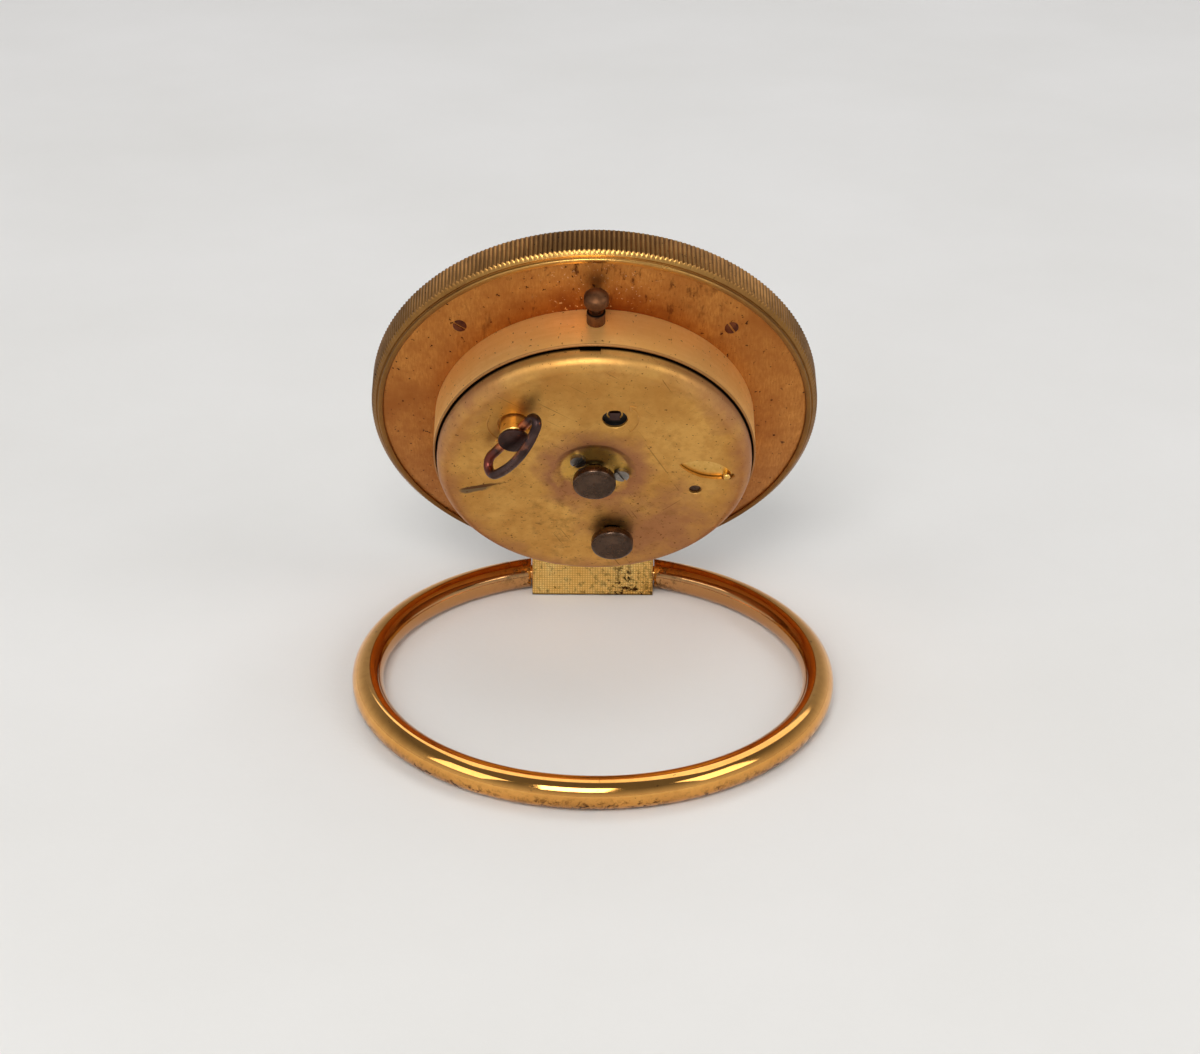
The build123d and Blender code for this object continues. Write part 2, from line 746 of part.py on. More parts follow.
# Front plate of the movement
with BuildPart() as front_plate:
    add(rod((0, 0), front_plate_radius, front_plate_front, plate_gap_front,
            centre_arbor_radius + running_gap))
    holes = [(place, arbor_radius + running_gap) for place in train_pivots]
    holes += [(place, pillar_end_radius) for place in pillar_places]
    holes += [(barrel_place, barrel_arbor_radius + running_gap),
              (winder_place, barrel_arbor_radius + running_gap)]
    holes += [(alarm_place, alarm_arbor_radius + running_gap)]
    for place, radius in holes:
        add(rod(place, radius, front_plate_front, plate_gap_front), mode=Mode.SUBTRACT)
    add(rod(minute_place, minute_stud_radius, hour_level - pinion_overlap, plate_gap_front))
front_plate.part.label = "front_plate"
export_step(front_plate.part, "parts/front_plate.step")

# Back plate of the movement, with the regulator's boss
with BuildPart() as back_plate:
    add(rod((0, 0), back_plate_radius, plate_gap_rear, back_plate_rear,
            centre_arbor_radius + running_gap))
    add(rod(balance_place, regulator_boss_radius, plate_gap_rear,
            back_plate_rear + regulator_boss_height))
    for place, radius in holes:
        add(rod(place, radius, plate_gap_rear, back_plate_rear + regulator_boss_height),
            mode=Mode.SUBTRACT)
    for place in cover_screw_places:
        add(rod(place, cover_screw_shank_radius, plate_gap_rear, back_plate_rear), mode=Mode.SUBTRACT)
back_plate.part.label = "back_plate"
export_step(back_plate.part, "parts/back_plate.step")

# Riveted pillars
for number, place in enumerate(pillar_places, 1):
    with BuildPart() as pillar:
        add(rod(place, pillar_radius, plate_gap_front, plate_gap_rear))
        add(rod(place, pillar_end_radius, front_plate_front, back_plate_rear))
    pillar.part.label = f"pillar_{number}"
    export_step(pillar.part, f"parts/pillar_{number}.step")

# Going barrel with its great wheel
barrel_phase = 0
with BuildPart() as going_barrel:
    drum_rear = barrel_drum_rear - barrel_wall
    wheel_rear = barrel_level + barrel_wheel_thickness
    add(gear(barrel_place, barrel_teeth, barrel_module, barrel_level, wheel_rear, barrel_phase,
             barrel_arbor_radius + running_gap))
    add(rod(barrel_place, barrel_drum_radius, wheel_rear, drum_rear, barrel_drum_radius - barrel_wall))
    add(rod(barrel_place, barrel_drum_radius, drum_rear, barrel_drum_rear,
            barrel_arbor_radius + running_gap))
going_barrel.part.label = "going_barrel"
export_step(going_barrel.part, "parts/going_barrel.step")

# Mainspring, a wound strip inside the barrel
with BuildPart() as mainspring:
    spring_plane = seat(*barrel_place, barrel_level + barrel_wheel_thickness)
    spring_steps = mainspring_turns * spring_turn_points
    inner_side = []
    outer_side = []
    for step in range(spring_steps + 1):
        wound = step / spring_steps
        reach = mainspring_inner_radius + (mainspring_outer_radius - mainspring_inner_radius) * wound
        turn = 360 * mainspring_turns * wound
        inner_side.append(polar(reach - mainspring_thickness / 2, turn))
        outer_side.append(polar(reach + mainspring_thickness / 2, turn))
    with BuildSketch(spring_plane):
        with BuildLine():
            Spline(*inner_side)
            Spline(*outer_side)
            Line(inner_side[0], outer_side[0])
            Line(inner_side[-1], outer_side[-1])
        make_face()
    extrude(amount=barrel_drum_rear - barrel_wall - barrel_level - barrel_wheel_thickness)
mainspring.part.label = "mainspring"
export_step(mainspring.part, "parts/mainspring.step")

# Winding arbor and ratchet wheel
with BuildPart() as barrel_arbor:
    add(rod(barrel_place, barrel_arbor_radius, front_plate_front + arbor_end_play, key_bore_end))
barrel_arbor.part.label = "barrel_arbor"
export_step(barrel_arbor.part, "parts/barrel_arbor.step")

with BuildPart() as ratchet_wheel:
    ratchet_points = []
    for tooth in range(ratchet_teeth):
        ratchet_points.append(polar(ratchet_radius - ratchet_tooth_height, 360 * tooth / ratchet_teeth))
        ratchet_points.append(polar(ratchet_radius, 360 * tooth / ratchet_teeth))
    extrude(polygon_face(seat(*barrel_place, ratchet_level), ratchet_points), amount=ratchet_thickness)
    add(rod(barrel_place, barrel_arbor_radius, ratchet_level, cover_rear), mode=Mode.SUBTRACT)
ratchet_wheel.part.label = "ratchet_wheel"
export_step(ratchet_wheel.part, "parts/ratchet_wheel.step")

# Click of the ratchet, shown lifted off the teeth
with BuildPart() as click:
    click_place = stepped(barrel_place, click_reach, click_angle)
    click_tip = stepped(barrel_place, ratchet_radius + click_clearance, click_angle + click_tip_turn)
    click_heel = stepped(barrel_place, ratchet_radius + click_clearance + click_pad_radius,
                         click_angle + click_heel_turn)
    click_inner = stepped(barrel_place, click_reach - click_pad_radius, click_angle)
    click_outer = stepped(barrel_place, click_reach + click_pad_radius, click_angle)
    extrude(polygon_face(seat(0, 0, back_plate_rear), [click_inner, click_tip, click_heel, click_outer]),
            amount=ratchet_thickness)
    add(rod(click_place, click_pad_radius, back_plate_rear, back_plate_rear + ratchet_thickness))
click.part.label = "click"
export_step(click.part, "parts/click.step")

# Winding key: stem with a wider head, drilled across for the folding loop
key_across = turned_seat(*barrel_place, key_pivot_level, key_pivot_angle)
with BuildPart() as key_hub:
    add(rod(barrel_place, key_stem_radius, key_stem_front, key_head_rear))
    add(rod(barrel_place, key_head_radius, key_head_rear - key_head_thickness, key_head_rear))
    add(rod(barrel_place, barrel_arbor_radius, key_stem_front, key_bore_end), mode=Mode.SUBTRACT)
    with BuildSketch(Plane(origin=key_across.origin, x_dir=key_across.y_dir, z_dir=key_across.x_dir)):
        Circle(bail_wire_radius + running_gap)
    extrude(amount=key_head_radius, both=True, mode=Mode.SUBTRACT)
key_hub.part.label = "key_hub"
export_step(key_hub.part, "parts/key_hub.step")

with BuildPart() as key_bail:
    bail_rise = math.radians(bail_raise)
    bail_out = key_across.z_dir * math.sin(bail_rise) - key_across.y_dir * math.cos(bail_rise)
    bail_plane = Plane(origin=key_across.origin, x_dir=key_across.x_dir,
                       z_dir=key_across.x_dir.cross(bail_out))
    bail_half = bail_length / 2 - bail_wire_radius
    narrow_x = bail_half - bail_slide - bail_narrow_radius
    wide_x = bail_wide_radius - bail_half - bail_slide
    bow_x, bow_y = meeting_place((narrow_x, bail_narrow_radius), bail_bow_radius - bail_narrow_radius,
                                 (wide_x, bail_wide_radius), bail_bow_radius - bail_wide_radius)
    narrow_turn = math.atan2(bail_narrow_radius - bow_y, narrow_x - bow_x)
    wide_turn = math.atan2(bail_wide_radius - bow_y, wide_x - bow_x)
    with BuildLine(bail_plane) as bail_line:
        Line((0, 0), (narrow_x, 0))
        CenterArc((narrow_x, bail_narrow_radius), bail_narrow_radius, -90, 90 + math.degrees(narrow_turn))
        CenterArc((bow_x, bow_y), bail_bow_radius, math.degrees(narrow_turn), math.degrees(wide_turn - narrow_turn))
        CenterArc((wide_x, bail_wide_radius), bail_wide_radius, math.degrees(wide_turn),
                  270 - math.degrees(wide_turn))
        Line((wide_x, 0), (0, 0))
    with BuildSketch(Plane(origin=bail_line.line @ 0, z_dir=bail_line.line % 0)):
        Circle(bail_wire_radius)
    sweep()
key_bail.part.label = "key_bail"
export_step(key_bail.part, "parts/key_bail.step")

# Alarm barrel and its winding arbor, whose square end is in reach through the cover
with BuildPart() as alarm_barrel:
    drum_inner = alarm_barrel_radius - barrel_wall
    add(rod(winder_place, alarm_barrel_radius, alarm_barrel_front, alarm_barrel_rear,
            barrel_arbor_radius + running_gap))
    add(rod(winder_place, drum_inner, alarm_barrel_front + barrel_wall, alarm_barrel_rear - barrel_wall,
            barrel_arbor_radius + barrel_wall), mode=Mode.SUBTRACT)
alarm_barrel.part.label = "alarm_barrel"
export_step(alarm_barrel.part, "parts/alarm_barrel.step")

with BuildPart() as alarm_winder:
    add(rod(winder_place, barrel_arbor_radius, front_plate_front + arbor_end_play, back_plate_rear))
    with BuildSketch(seat(*winder_place, back_plate_rear)):
        Rectangle(winder_square, winder_square)
    extrude(amount=winder_end - back_plate_rear)
alarm_winder.part.label = "alarm_winder"
export_step(alarm_winder.part, "parts/alarm_winder.step")


def train_arbor(place):
    """Plain arbor that turns in both plates."""
    return rod(place, arbor_radius, front_plate_front + arbor_end_play, back_plate_rear - arbor_end_play)


def pinion(place, leaves, module, partner_front, partner_thickness, phase, hole_radius=0):
    """Pinion a little longer than the wheel it meets."""
    front = partner_front - pinion_overlap
    rear = partner_front + partner_thickness + pinion_overlap
    return gear(place, leaves, module, front, rear, phase, hole_radius, leaves=True)


# Drive wheel between the barrel and the centre
drive_phase = 0
with BuildPart() as drive_wheel:
    phase = mesh_phase(barrel_phase, barrel_teeth, barrel_pinion_leaves,
                       bearing(barrel_place, drive_place))
    add(train_arbor(drive_place))
    add(pinion(drive_place, barrel_pinion_leaves, barrel_module, barrel_level, barrel_wheel_thickness,
               phase))
    add(gear(drive_place, centre_drive_teeth, centre_drive_module, centre_drive_level,
             centre_drive_level + wheel_thickness, drive_phase, 0))
drive_wheel.part.label = "drive_wheel"
export_step(drive_wheel.part, "parts/drive_wheel.step")

# Centre wheel, a loose tube on the centre arbor
centre_phase = 0
with BuildPart() as centre_wheel:
    phase = mesh_phase(drive_phase, centre_drive_teeth, centre_pinion_leaves,
                       bearing(drive_place, (0, 0)))
    centre_bore = centre_arbor_radius + running_gap
    centre_tube_front = centre_drive_level + wheel_thickness
    centre_wheel_rear = centre_wheel_level + wheel_thickness
    add(pinion((0, 0), centre_pinion_leaves, centre_drive_module, centre_drive_level, wheel_thickness,
               phase, centre_bore))
    add(rod((0, 0), centre_arbor_radius + pipe_wall, centre_tube_front, centre_wheel_rear, centre_bore))
    add(gear((0, 0), centre_wheel_teeth, centre_wheel_module, centre_wheel_level, centre_wheel_rear,
             centre_phase, centre_bore))
centre_wheel.part.label = "centre_wheel"
export_step(centre_wheel.part, "parts/centre_wheel.step")

# Third wheel
third_phase = 0
with BuildPart() as third_wheel:
    phase = mesh_phase(centre_phase, centre_wheel_teeth, third_pinion_leaves,
                       bearing((0, 0), third_place))
    add(train_arbor(third_place))
    add(pinion(third_place, third_pinion_leaves, centre_wheel_module, centre_wheel_level, wheel_thickness,
               phase))
    add(gear(third_place, third_wheel_teeth, third_wheel_module, third_wheel_level,
             third_wheel_level + wheel_thickness, third_phase, 0))
third_wheel.part.label = "third_wheel"
export_step(third_wheel.part, "parts/third_wheel.step")

# Fourth wheel
fourth_phase = 0
with BuildPart() as fourth_wheel:
    phase = mesh_phase(third_phase, third_wheel_teeth, fourth_pinion_leaves,
                       bearing(third_place, fourth_place))
    add(train_arbor(fourth_place))
    add(pinion(fourth_place, fourth_pinion_leaves, third_wheel_module, third_wheel_level, wheel_thickness,
               phase))
    add(gear(fourth_place, fourth_wheel_teeth, fourth_wheel_module, fourth_wheel_level,
             fourth_wheel_level + wheel_thickness, fourth_phase, 0))
fourth_wheel.part.label = "fourth_wheel"
export_step(fourth_wheel.part, "parts/fourth_wheel.step")

# Escape wheel
with BuildPart() as escape_wheel:
    phase = mesh_phase(fourth_phase, fourth_wheel_teeth, escape_pinion_leaves,
                       bearing(fourth_place, escape_place))
    add(train_arbor(escape_place))
    add(pinion(escape_place, escape_pinion_leaves, fourth_wheel_module, fourth_wheel_level,
               wheel_thickness, phase))
    escape_points = []
    escape_root = escape_radius - escape_tooth_height
    for tooth in range(escape_teeth):
        for radius, share in zip((escape_root, escape_radius, escape_root), escape_tooth_shares):
            escape_points.append(polar(radius, 360 * (tooth + share) / escape_teeth))
    extrude(polygon_face(seat(*escape_place, escape_level), escape_points), amount=wheel_thickness)
escape_wheel.part.label = "escape_wheel"
export_step(escape_wheel.part, "parts/escape_wheel.step")

# Lever with two pallet pins
with BuildPart() as lever:
    add(train_arbor(lever_place))
    add(rod(lever_place, lever_pad_radius, escape_level, escape_level + lever_thickness))
    pallet_reach = escape_radius + lever_pallet_radius + lever_gap
    escape_bearing = bearing(escape_place, lever_place)
    fork_reach = math.dist(lever_place, balance_place) - balance_roller_radius - lever_gap
    fork_tip = stepped(lever_place, fork_reach, bearing(lever_place, balance_place))
    arm_ends = [fork_tip]
    for side in (-1, 1):
        pallet_place = stepped(escape_place, pallet_reach, escape_bearing + side * lever_pallet_spread)
        arm_ends.append(pallet_place)
        add(rod(pallet_place, lever_pallet_radius, escape_level, escape_level + 2 * lever_thickness))
    for arm_end in arm_ends:
        arm_turn = bearing(lever_place, arm_end)
        arm_length = math.dist(lever_place, arm_end)
        with BuildSketch(seat(*lever_place, escape_level + wheel_thickness)):
            with Locations(polar(arm_length / 2, arm_turn)):
                Rectangle(arm_length, lever_arm_width, rotation=arm_turn)
        extrude(amount=lever_thickness)
    add(rod(lever_place, lever_pad_radius, escape_level, escape_level + 2 * lever_thickness))
lever.part.label = "lever"
export_step(lever.part, "parts/lever.step")

# Balance wheel
with BuildPart() as balance_wheel:
    add(train_arbor(balance_place))
    add(rod(balance_place, balance_radius, balance_level, balance_level + balance_thickness,
            balance_radius - balance_rim_width))
    with BuildSketch(seat(*balance_place, balance_level)):
        Rectangle(2 * balance_radius - balance_rim_width, balance_spoke_width)
    extrude(amount=balance_thickness)
    add(rod(balance_place, balance_roller_radius, escape_level, balance_level))
balance_wheel.part.label = "balance_wheel"
export_step(balance_wheel.part, "parts/balance_wheel.step")

# Regulator, a plate right under the cover's window, whose pin stands in it
with BuildPart() as regulator:
    regulator_front = back_plate_rear + regulator_gap
    ring_inner = regulator_boss_radius + running_gap
    plate_start, plate_end = regulator_plate_angles
    with BuildSketch(seat(*balance_place, regulator_front)):
        with BuildLine():
            Line((0, 0), polar(regulator_plate_radius, plate_start))
            CenterArc((0, 0), regulator_plate_radius, plate_start, plate_end - plate_start)
            Line(polar(regulator_plate_radius, plate_end), (0, 0))
        make_face()
        Circle(ring_inner + regulator_ring_width)
        Circle(ring_inner, mode=Mode.SUBTRACT)
    extrude(amount=regulator_thickness)
    add(rod((0, 0), cover_radius - cover_round, regulator_front, cover_rear), mode=Mode.INTERSECT)
    add(rod(regulator_tip, regulator_pin_radius, regulator_front, regulator_pin_rear))
    pin_end = regulator.faces().sort_by(Axis(head.origin, head.z_dir))[-1].edges()
    fillet(pin_end, radius=regulator_pin_radius * regulator_pin_round_share)
regulator.part.label = "regulator"
export_step(regulator.part, "parts/regulator.step")

# Centre arbor with the cannon pinion
cannon_phase = 0
hour_pipe_inner = centre_arbor_radius + pipe_gap
hour_pipe_outer = hour_pipe_inner + pipe_wall
alarm_pipe_inner = hour_pipe_outer + pipe_gap
alarm_pipe_outer = alarm_pipe_inner + pipe_wall
with BuildPart() as centre_arbor:
    add(rod((0, 0), centre_arbor_radius, minute_hand_level, knob_bore_end))
    add(gear((0, 0), cannon_leaves, minute_module, cannon_level - pinion_overlap / 2,
             cannon_level + motion_thickness + pinion_overlap / 2, cannon_phase, 0, leaves=True))
centre_arbor.part.label = "centre_arbor"
export_step(centre_arbor.part, "parts/centre_arbor.step")

# Minute wheel and its pinion, on the front plate's stud
with BuildPart() as minute_wheel:
    minute_phase = mesh_phase(cannon_phase, cannon_leaves, minute_teeth, minute_angle)
    minute_pinion_phase = minute_angle + 180
    stud_bore = minute_stud_radius + running_gap
    minute_rear = cannon_level + motion_thickness
    add(gear(minute_place, minute_teeth, minute_module, cannon_level, minute_rear, minute_phase,
             stud_bore))
    add(gear(minute_place, minute_leaves, hour_module, hour_level - pinion_overlap / 2, cannon_level,
             minute_pinion_phase, stud_bore, leaves=True))
minute_wheel.part.label = "minute_wheel"
export_step(minute_wheel.part, "parts/minute_wheel.step")

# Hour wheel with its pipe
with BuildPart() as hour_wheel:
    hour_phase = mesh_phase(minute_pinion_phase, minute_leaves, hour_teeth, minute_angle + 180)
    add(gear((0, 0), hour_teeth, hour_module, hour_level, hour_level + motion_thickness, hour_phase,
             hour_pipe_inner))
    add(rod((0, 0), hour_pipe_outer, hour_hand_level, hour_level + motion_thickness, hour_pipe_inner))
hour_wheel.part.label = "hour_wheel"
export_step(hour_wheel.part, "parts/hour_wheel.step")

# Alarm wheel with its pipe, and the setting arbor that turns it
alarm_reach = math.hypot(*alarm_place)
alarm_module = 2 * alarm_reach / (alarm_teeth + alarm_pinion_leaves)
alarm_pinion_phase = 0
with BuildPart() as alarm_wheel:
    alarm_phase = mesh_phase(alarm_pinion_phase, alarm_pinion_leaves, alarm_teeth,
                             bearing(alarm_place, (0, 0)))
    add(gear((0, 0), alarm_teeth, alarm_module, alarm_level, alarm_level + motion_thickness, alarm_phase,
             alarm_pipe_inner))
    add(rod((0, 0), alarm_pipe_outer, alarm_hand_level, alarm_level + motion_thickness, alarm_pipe_inner))
alarm_wheel.part.label = "alarm_wheel"
export_step(alarm_wheel.part, "parts/alarm_wheel.step")

with BuildPart() as alarm_arbor:
    add(rod(alarm_place, alarm_arbor_radius, alarm_level, knob_bore_end))
    add(gear(alarm_place, alarm_pinion_leaves, alarm_module, alarm_level, alarm_level + motion_thickness,
             alarm_pinion_phase, 0, leaves=True))
alarm_arbor.part.label = "alarm_arbor"
export_step(alarm_arbor.part, "parts/alarm_arbor.step")

# Three hands, each pressed on its own pipe
hand_sizes = (
    ("minute_hand", minute_hand_level, minute_hand_length, minute_hand_width, minute_hand_angle,
     centre_arbor_radius),
    ("hour_hand", hour_hand_level, hour_hand_length, hour_hand_width, hour_hand_angle, hour_pipe_outer),
    ("alarm_hand", alarm_hand_level, alarm_hand_length, alarm_hand_width, alarm_hand_angle,
     alarm_pipe_outer),
)
for name, level, length, width, angle, bore in hand_sizes:
    with BuildPart() as hand:
        half = width / 2
        tip = half * hand_tip_share
        blade = [(-hand_tail, -half), (length, -tip), (length, tip), (-hand_tail, half)]
        with BuildSketch(turned_seat(0, 0, level, angle)):
            with BuildLine():
                Polyline(*blade, close=True)
            make_face()
            Circle(bore + hand_hub_margin)
            Circle(bore, mode=Mode.SUBTRACT)
        extrude(amount=hand_thickness)
    hand.part.label = name
    export_step(hand.part, f"parts/{name}.step")

# Two knobs of the same turned shape
for name, place in (("time_knob", (0, 0)), ("alarm_knob", alarm_place)):
    with BuildPart() as knob:
        add(turned([(0, knob_stem_front), (knob_stem_radius, knob_stem_front), (knob_stem_radius, knob_neck),
                    (knob_neck_radius, knob_neck), (knob_radius, knob_shoulder), (knob_radius, knob_rim),
                    (knob_face_radius, knob_face), (0, knob_face)], *place))
        add(rod(place, centre_arbor_radius, knob_stem_front, knob_bore_end), mode=Mode.SUBTRACT)
    knob.part.label = name
    export_step(knob.part, f"parts/{name}.step")

# Guide bush of the alarm stop, seated on the sleeve
with BuildPart() as stop_bush:
    bush_height = stop_bush_top - stop_bush_bottom
    extrude(round_face(stop_axis_plane.offset(stop_bush_bottom), stop_bush_radius), amount=bush_height)
    add(turned([(0, flange_under), (sleeve_radius, flange_under), (sleeve_radius, sleeve_length),
                (0, sleeve_length)]),
        mode=Mode.SUBTRACT)
    extrude(round_face(stop_axis_plane.offset(stop_bush_bottom), stop_bush_shank_radius),
            amount=bush_height)
    extrude(round_face(stop_axis_plane.offset(stop_bush_bottom), stop_stem_radius + running_gap),
            amount=bush_height, mode=Mode.SUBTRACT)
stop_bush.part.label = "stop_bush"
export_step(stop_bush.part, "parts/stop_bush.step")

# Alarm stop plunger
with BuildPart() as stop_plunger:
    stop_side = Plane(origin=stop_axis_plane.origin, x_dir=head.x_dir, z_dir=head.z_dir)
    with BuildSketch(stop_side):
        with BuildLine():
            dome_edge = (stop_head_radius - stop_head_edge, stop_head_top - stop_dome)
            Polyline((dome_flat, stop_head_top), (0, stop_head_top), (0, stop_stem_bottom),
                     (stop_stem_radius, stop_stem_bottom),
                     (stop_stem_radius, stop_head_bottom - stop_neck_flare),
                     (stop_neck_radius, stop_head_bottom),
                     (stop_head_radius, stop_head_bottom + stop_head_edge),
                     (stop_head_radius, stop_head_top - stop_dome - stop_head_edge), dome_edge)
            dome_middle = (dome_edge[0] / 2, stop_head_top - stop_dome * (1 - dome_half_share))
            ThreePointArc(dome_edge, dome_middle, (dome_flat, stop_head_top))
        make_face()
    revolve(axis=Axis(stop_axis_plane.origin, head.y_dir))
stop_plunger.part.label = "stop_plunger"
export_step(stop_plunger.part, "parts/stop_plunger.step")
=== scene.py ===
import json
import math

import bmesh
import bpy
from mathutils import Matrix, Vector


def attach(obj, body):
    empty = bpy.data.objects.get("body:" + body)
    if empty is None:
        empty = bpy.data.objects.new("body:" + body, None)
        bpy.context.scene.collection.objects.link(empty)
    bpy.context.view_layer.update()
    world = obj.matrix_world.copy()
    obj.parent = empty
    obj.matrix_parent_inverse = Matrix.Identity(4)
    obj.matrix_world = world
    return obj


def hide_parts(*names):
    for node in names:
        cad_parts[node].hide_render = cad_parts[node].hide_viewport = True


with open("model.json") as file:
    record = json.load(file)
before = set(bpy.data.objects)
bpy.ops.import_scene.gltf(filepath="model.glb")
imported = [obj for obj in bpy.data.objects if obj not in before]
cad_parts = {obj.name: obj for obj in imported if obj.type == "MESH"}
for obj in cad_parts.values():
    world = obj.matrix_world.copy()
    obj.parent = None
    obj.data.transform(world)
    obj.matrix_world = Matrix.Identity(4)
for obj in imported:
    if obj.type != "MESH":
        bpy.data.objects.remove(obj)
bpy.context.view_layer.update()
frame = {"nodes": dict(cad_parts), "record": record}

MM = 0.001

# Sizes of the solids, in millimetres
head_lean = math.radians(23.6)
ring_radius = 42.1
tube_radius = 2.9
ring_end = 12.4
block_rear = 4.45
pivot_behind_flange = 4.4
rim_radius = 42.65
ridge_count = 300
ridge_height = 0.35
cover_radius = 29.65
cover_rear = 12.9
cover_front = 7.0
cover_wall = 0.6
cover_round = 2.5
dish_floor = 12.1
dish_floor_radius = 6.5
dish_mouth_radius = 7.8
centre_hole_radius = 2.9
dial_front = -3.7
barrel_place = (-14.8, 13.3)
winder_place = (3.6, 14.9)
alarm_place = (3.6, -17.8)
balance_place = (19.1, -4.6)
key_hole_radius = 3.0
alarm_hole_radius = 2.7
winder_hole_radius = 2.3
small_hole_radius = 1.15
regulator_reach = 7.0
regulator_angle = math.radians(34)
flange_drop = 1.9
flange_width = 10.0
flange_thickness = 1.0
sleeve_radius = 30.4
sleeve_wall = 0.5
sleeve_rear = 9.0
sleeve_edge = 0.2
flange_screw_reach = 35.3
flange_screw_angles = (45, 135, 225, 315)
flange_screw_slot_angles = (75, 195, 315, 75)
key_angle = math.radians(53.5)
key_level = 15.3
bail_raise = math.radians(68)
bail_wire_radius = 0.9
bail_length = 17.1
bail_slide = 1.3
bail_narrow_radius = 1.2
bail_wide_radius = 2.0
bail_bow_radius = 16.0
bail_bore_radius = 0.95
glass_reach = 36.6
glass_rim = 39.2
glass_front = -7.9
glass_rear = -6.7
glass_rise = 2.0

# Shapes that the solids leave out: the notch of the cover and the marks on the dial
notch_left = -2.9
notch_right = 0.9
notch_floor = 29.2
notch_rear = 9.9
pocket_margin = 0.5
arrow_radius = 0.14
number_reach = 27.6
number_size = 7.0
dot_reach = 31.6
track_reach = 35.2
hour_mark = (33.0, 0.5)
minute_mark = (33.8, 0.22)

pivot_reach = math.sqrt(ring_radius**2 - ring_end**2)
lean_sin = math.sin(head_lean)
lean_cos = math.cos(head_lean)
head_y = pivot_reach * lean_sin - pivot_behind_flange * lean_cos
head_z = tube_radius + pivot_reach * lean_cos + pivot_behind_flange * lean_sin

# The head's own frame: x to the right seen from behind, y up its slope, z backwards
head = Matrix((
    (-1, 0, 0, 0),
    (0, lean_sin, lean_cos, head_y * MM),
    (0, lean_cos, -lean_sin, head_z * MM),
    (0, 0, 0, 1),
))


def spot(x, y, depth=0):
    """Frame of a place on the head."""
    return head @ Matrix.Translation((x * MM, y * MM, depth * MM))


def soften(points, radius, closed=False, steps=4):
    """Outline with its corners rounded."""
    result = []
    count = len(points)
    for index, point in enumerate(points):
        if not closed and index in (0, count - 1):
            result.append(point)
            continue
        here = Vector(point)
        back = Vector(points[index - 1]) - here
        ahead = Vector(points[(index + 1) % count]) - here
        reach = min(radius, back.length * 0.45, ahead.length * 0.45)
        start = here + back.normalized() * reach
        end = here + ahead.normalized() * reach
        for step in range(steps + 1):
            t = step / steps
            place = start * (1 - t)**2 + here * (2 * t * (1 - t)) + end * t**2
            result.append(tuple(place))
    return result


def mesh_object(name, shape, place, sharp=35):
    """Object from a bmesh, shaded smooth except at sharp edges."""
    bmesh.ops.remove_doubles(shape, verts=shape.verts, dist=1e-7)
    bmesh.ops.recalc_face_normals(shape, faces=shape.faces)
    mesh = bpy.data.meshes.new(name)
    shape.to_mesh(mesh)
    shape.free()
    mesh.shade_smooth()
    mesh.set_sharp_from_angle(angle=math.radians(sharp))
    piece = bpy.data.objects.new(name, mesh)
    bpy.context.scene.collection.objects.link(piece)
    piece.matrix_world = place
    return piece


def lathe(name, profile, place, steps=128, closed=False, ridges=0, height=0, sharp=35):
    """Body of revolution from (radius, depth) points, or (radius, depth, share of the ridge height)."""
    shape = bmesh.new()
    rows = []
    for point in profile:
        share = point[2] if len(point) > 2 else 0
        row = []
        for step in range(steps):
            angle = 2 * math.pi * step / steps
            radius = point[0] + share * height * abs(math.sin(ridges * angle / 2))**0.7
            row.append(shape.verts.new((radius * math.cos(angle) * MM, radius * math.sin(angle) * MM,
                                        point[1] * MM)))
        rows.append(row)
    pairs = list(zip(rows, rows[1:]))
    if closed:
        pairs.append((rows[-1], rows[0]))
    for first, second in pairs:
        for step in range(steps):
            after = (step + 1) % steps
            shape.faces.new((first[step], first[after], second[after], second[step]))
    return mesh_object(name, shape, place, sharp)


def slab(name, outline, low, high, place, bevel=0, sharp=35):
    """Flat plate from an outline, with softened edges."""
    shape = bmesh.new()
    corners = [shape.verts.new((x * MM, y * MM, low * MM)) for x, y in outline]
    face = shape.faces.new(corners)
    grown = bmesh.ops.extrude_face_region(shape, geom=[face])
    moved = [item for item in grown["geom"] if isinstance(item, bmesh.types.BMVert)]
    bmesh.ops.translate(shape, verts=moved, vec=(0, 0, (high - low) * MM))
    if bevel:
        bmesh.ops.recalc_face_normals(shape, faces=shape.faces)
        rims = [edge for edge in shape.edges if len({round(v.co.z, 7) for v in edge.verts}) == 1]
        bmesh.ops.bevel(shape, geom=rims, offset=bevel * MM, segments=2, affect="EDGES", profile=0.5)
    return mesh_object(name, shape, place, sharp)


def tube(name, path, radius, place, sides=24, closed=False):
    """Round wire along a path of points in millimetres."""
    shape = bmesh.new()
    points = [Vector(point) for point in path]
    count = len(points)
    rows = []
    side = None
    for index, point in enumerate(points):
        before = points[index - 1] if closed or index else point
        after = points[(index + 1) % count] if closed or index < count - 1 else point
        along = (after - before).normalized()
        if side is None:
            side = along.orthogonal().normalized()
        side = (side - along * side.dot(along)).normalized()
        other = along.cross(side)
        row = []
        for step in range(sides):
            angle = 2 * math.pi * step / sides
            offset = side * math.cos(angle) + other * math.sin(angle)
            row.append(shape.verts.new((point + offset * radius) * MM))
        rows.append(row)
    pairs = list(zip(rows, rows[1:]))
    if closed:
        pairs.append((rows[-1], rows[0]))
    for first, second in pairs:
        for step in range(sides):
            after = (step + 1) % sides
            shape.faces.new((first[step], first[after], second[after], second[step]))
    if not closed:
        shape.faces.new(rows[0])
        shape.faces.new(rows[-1])
    return mesh_object(name, shape, place)


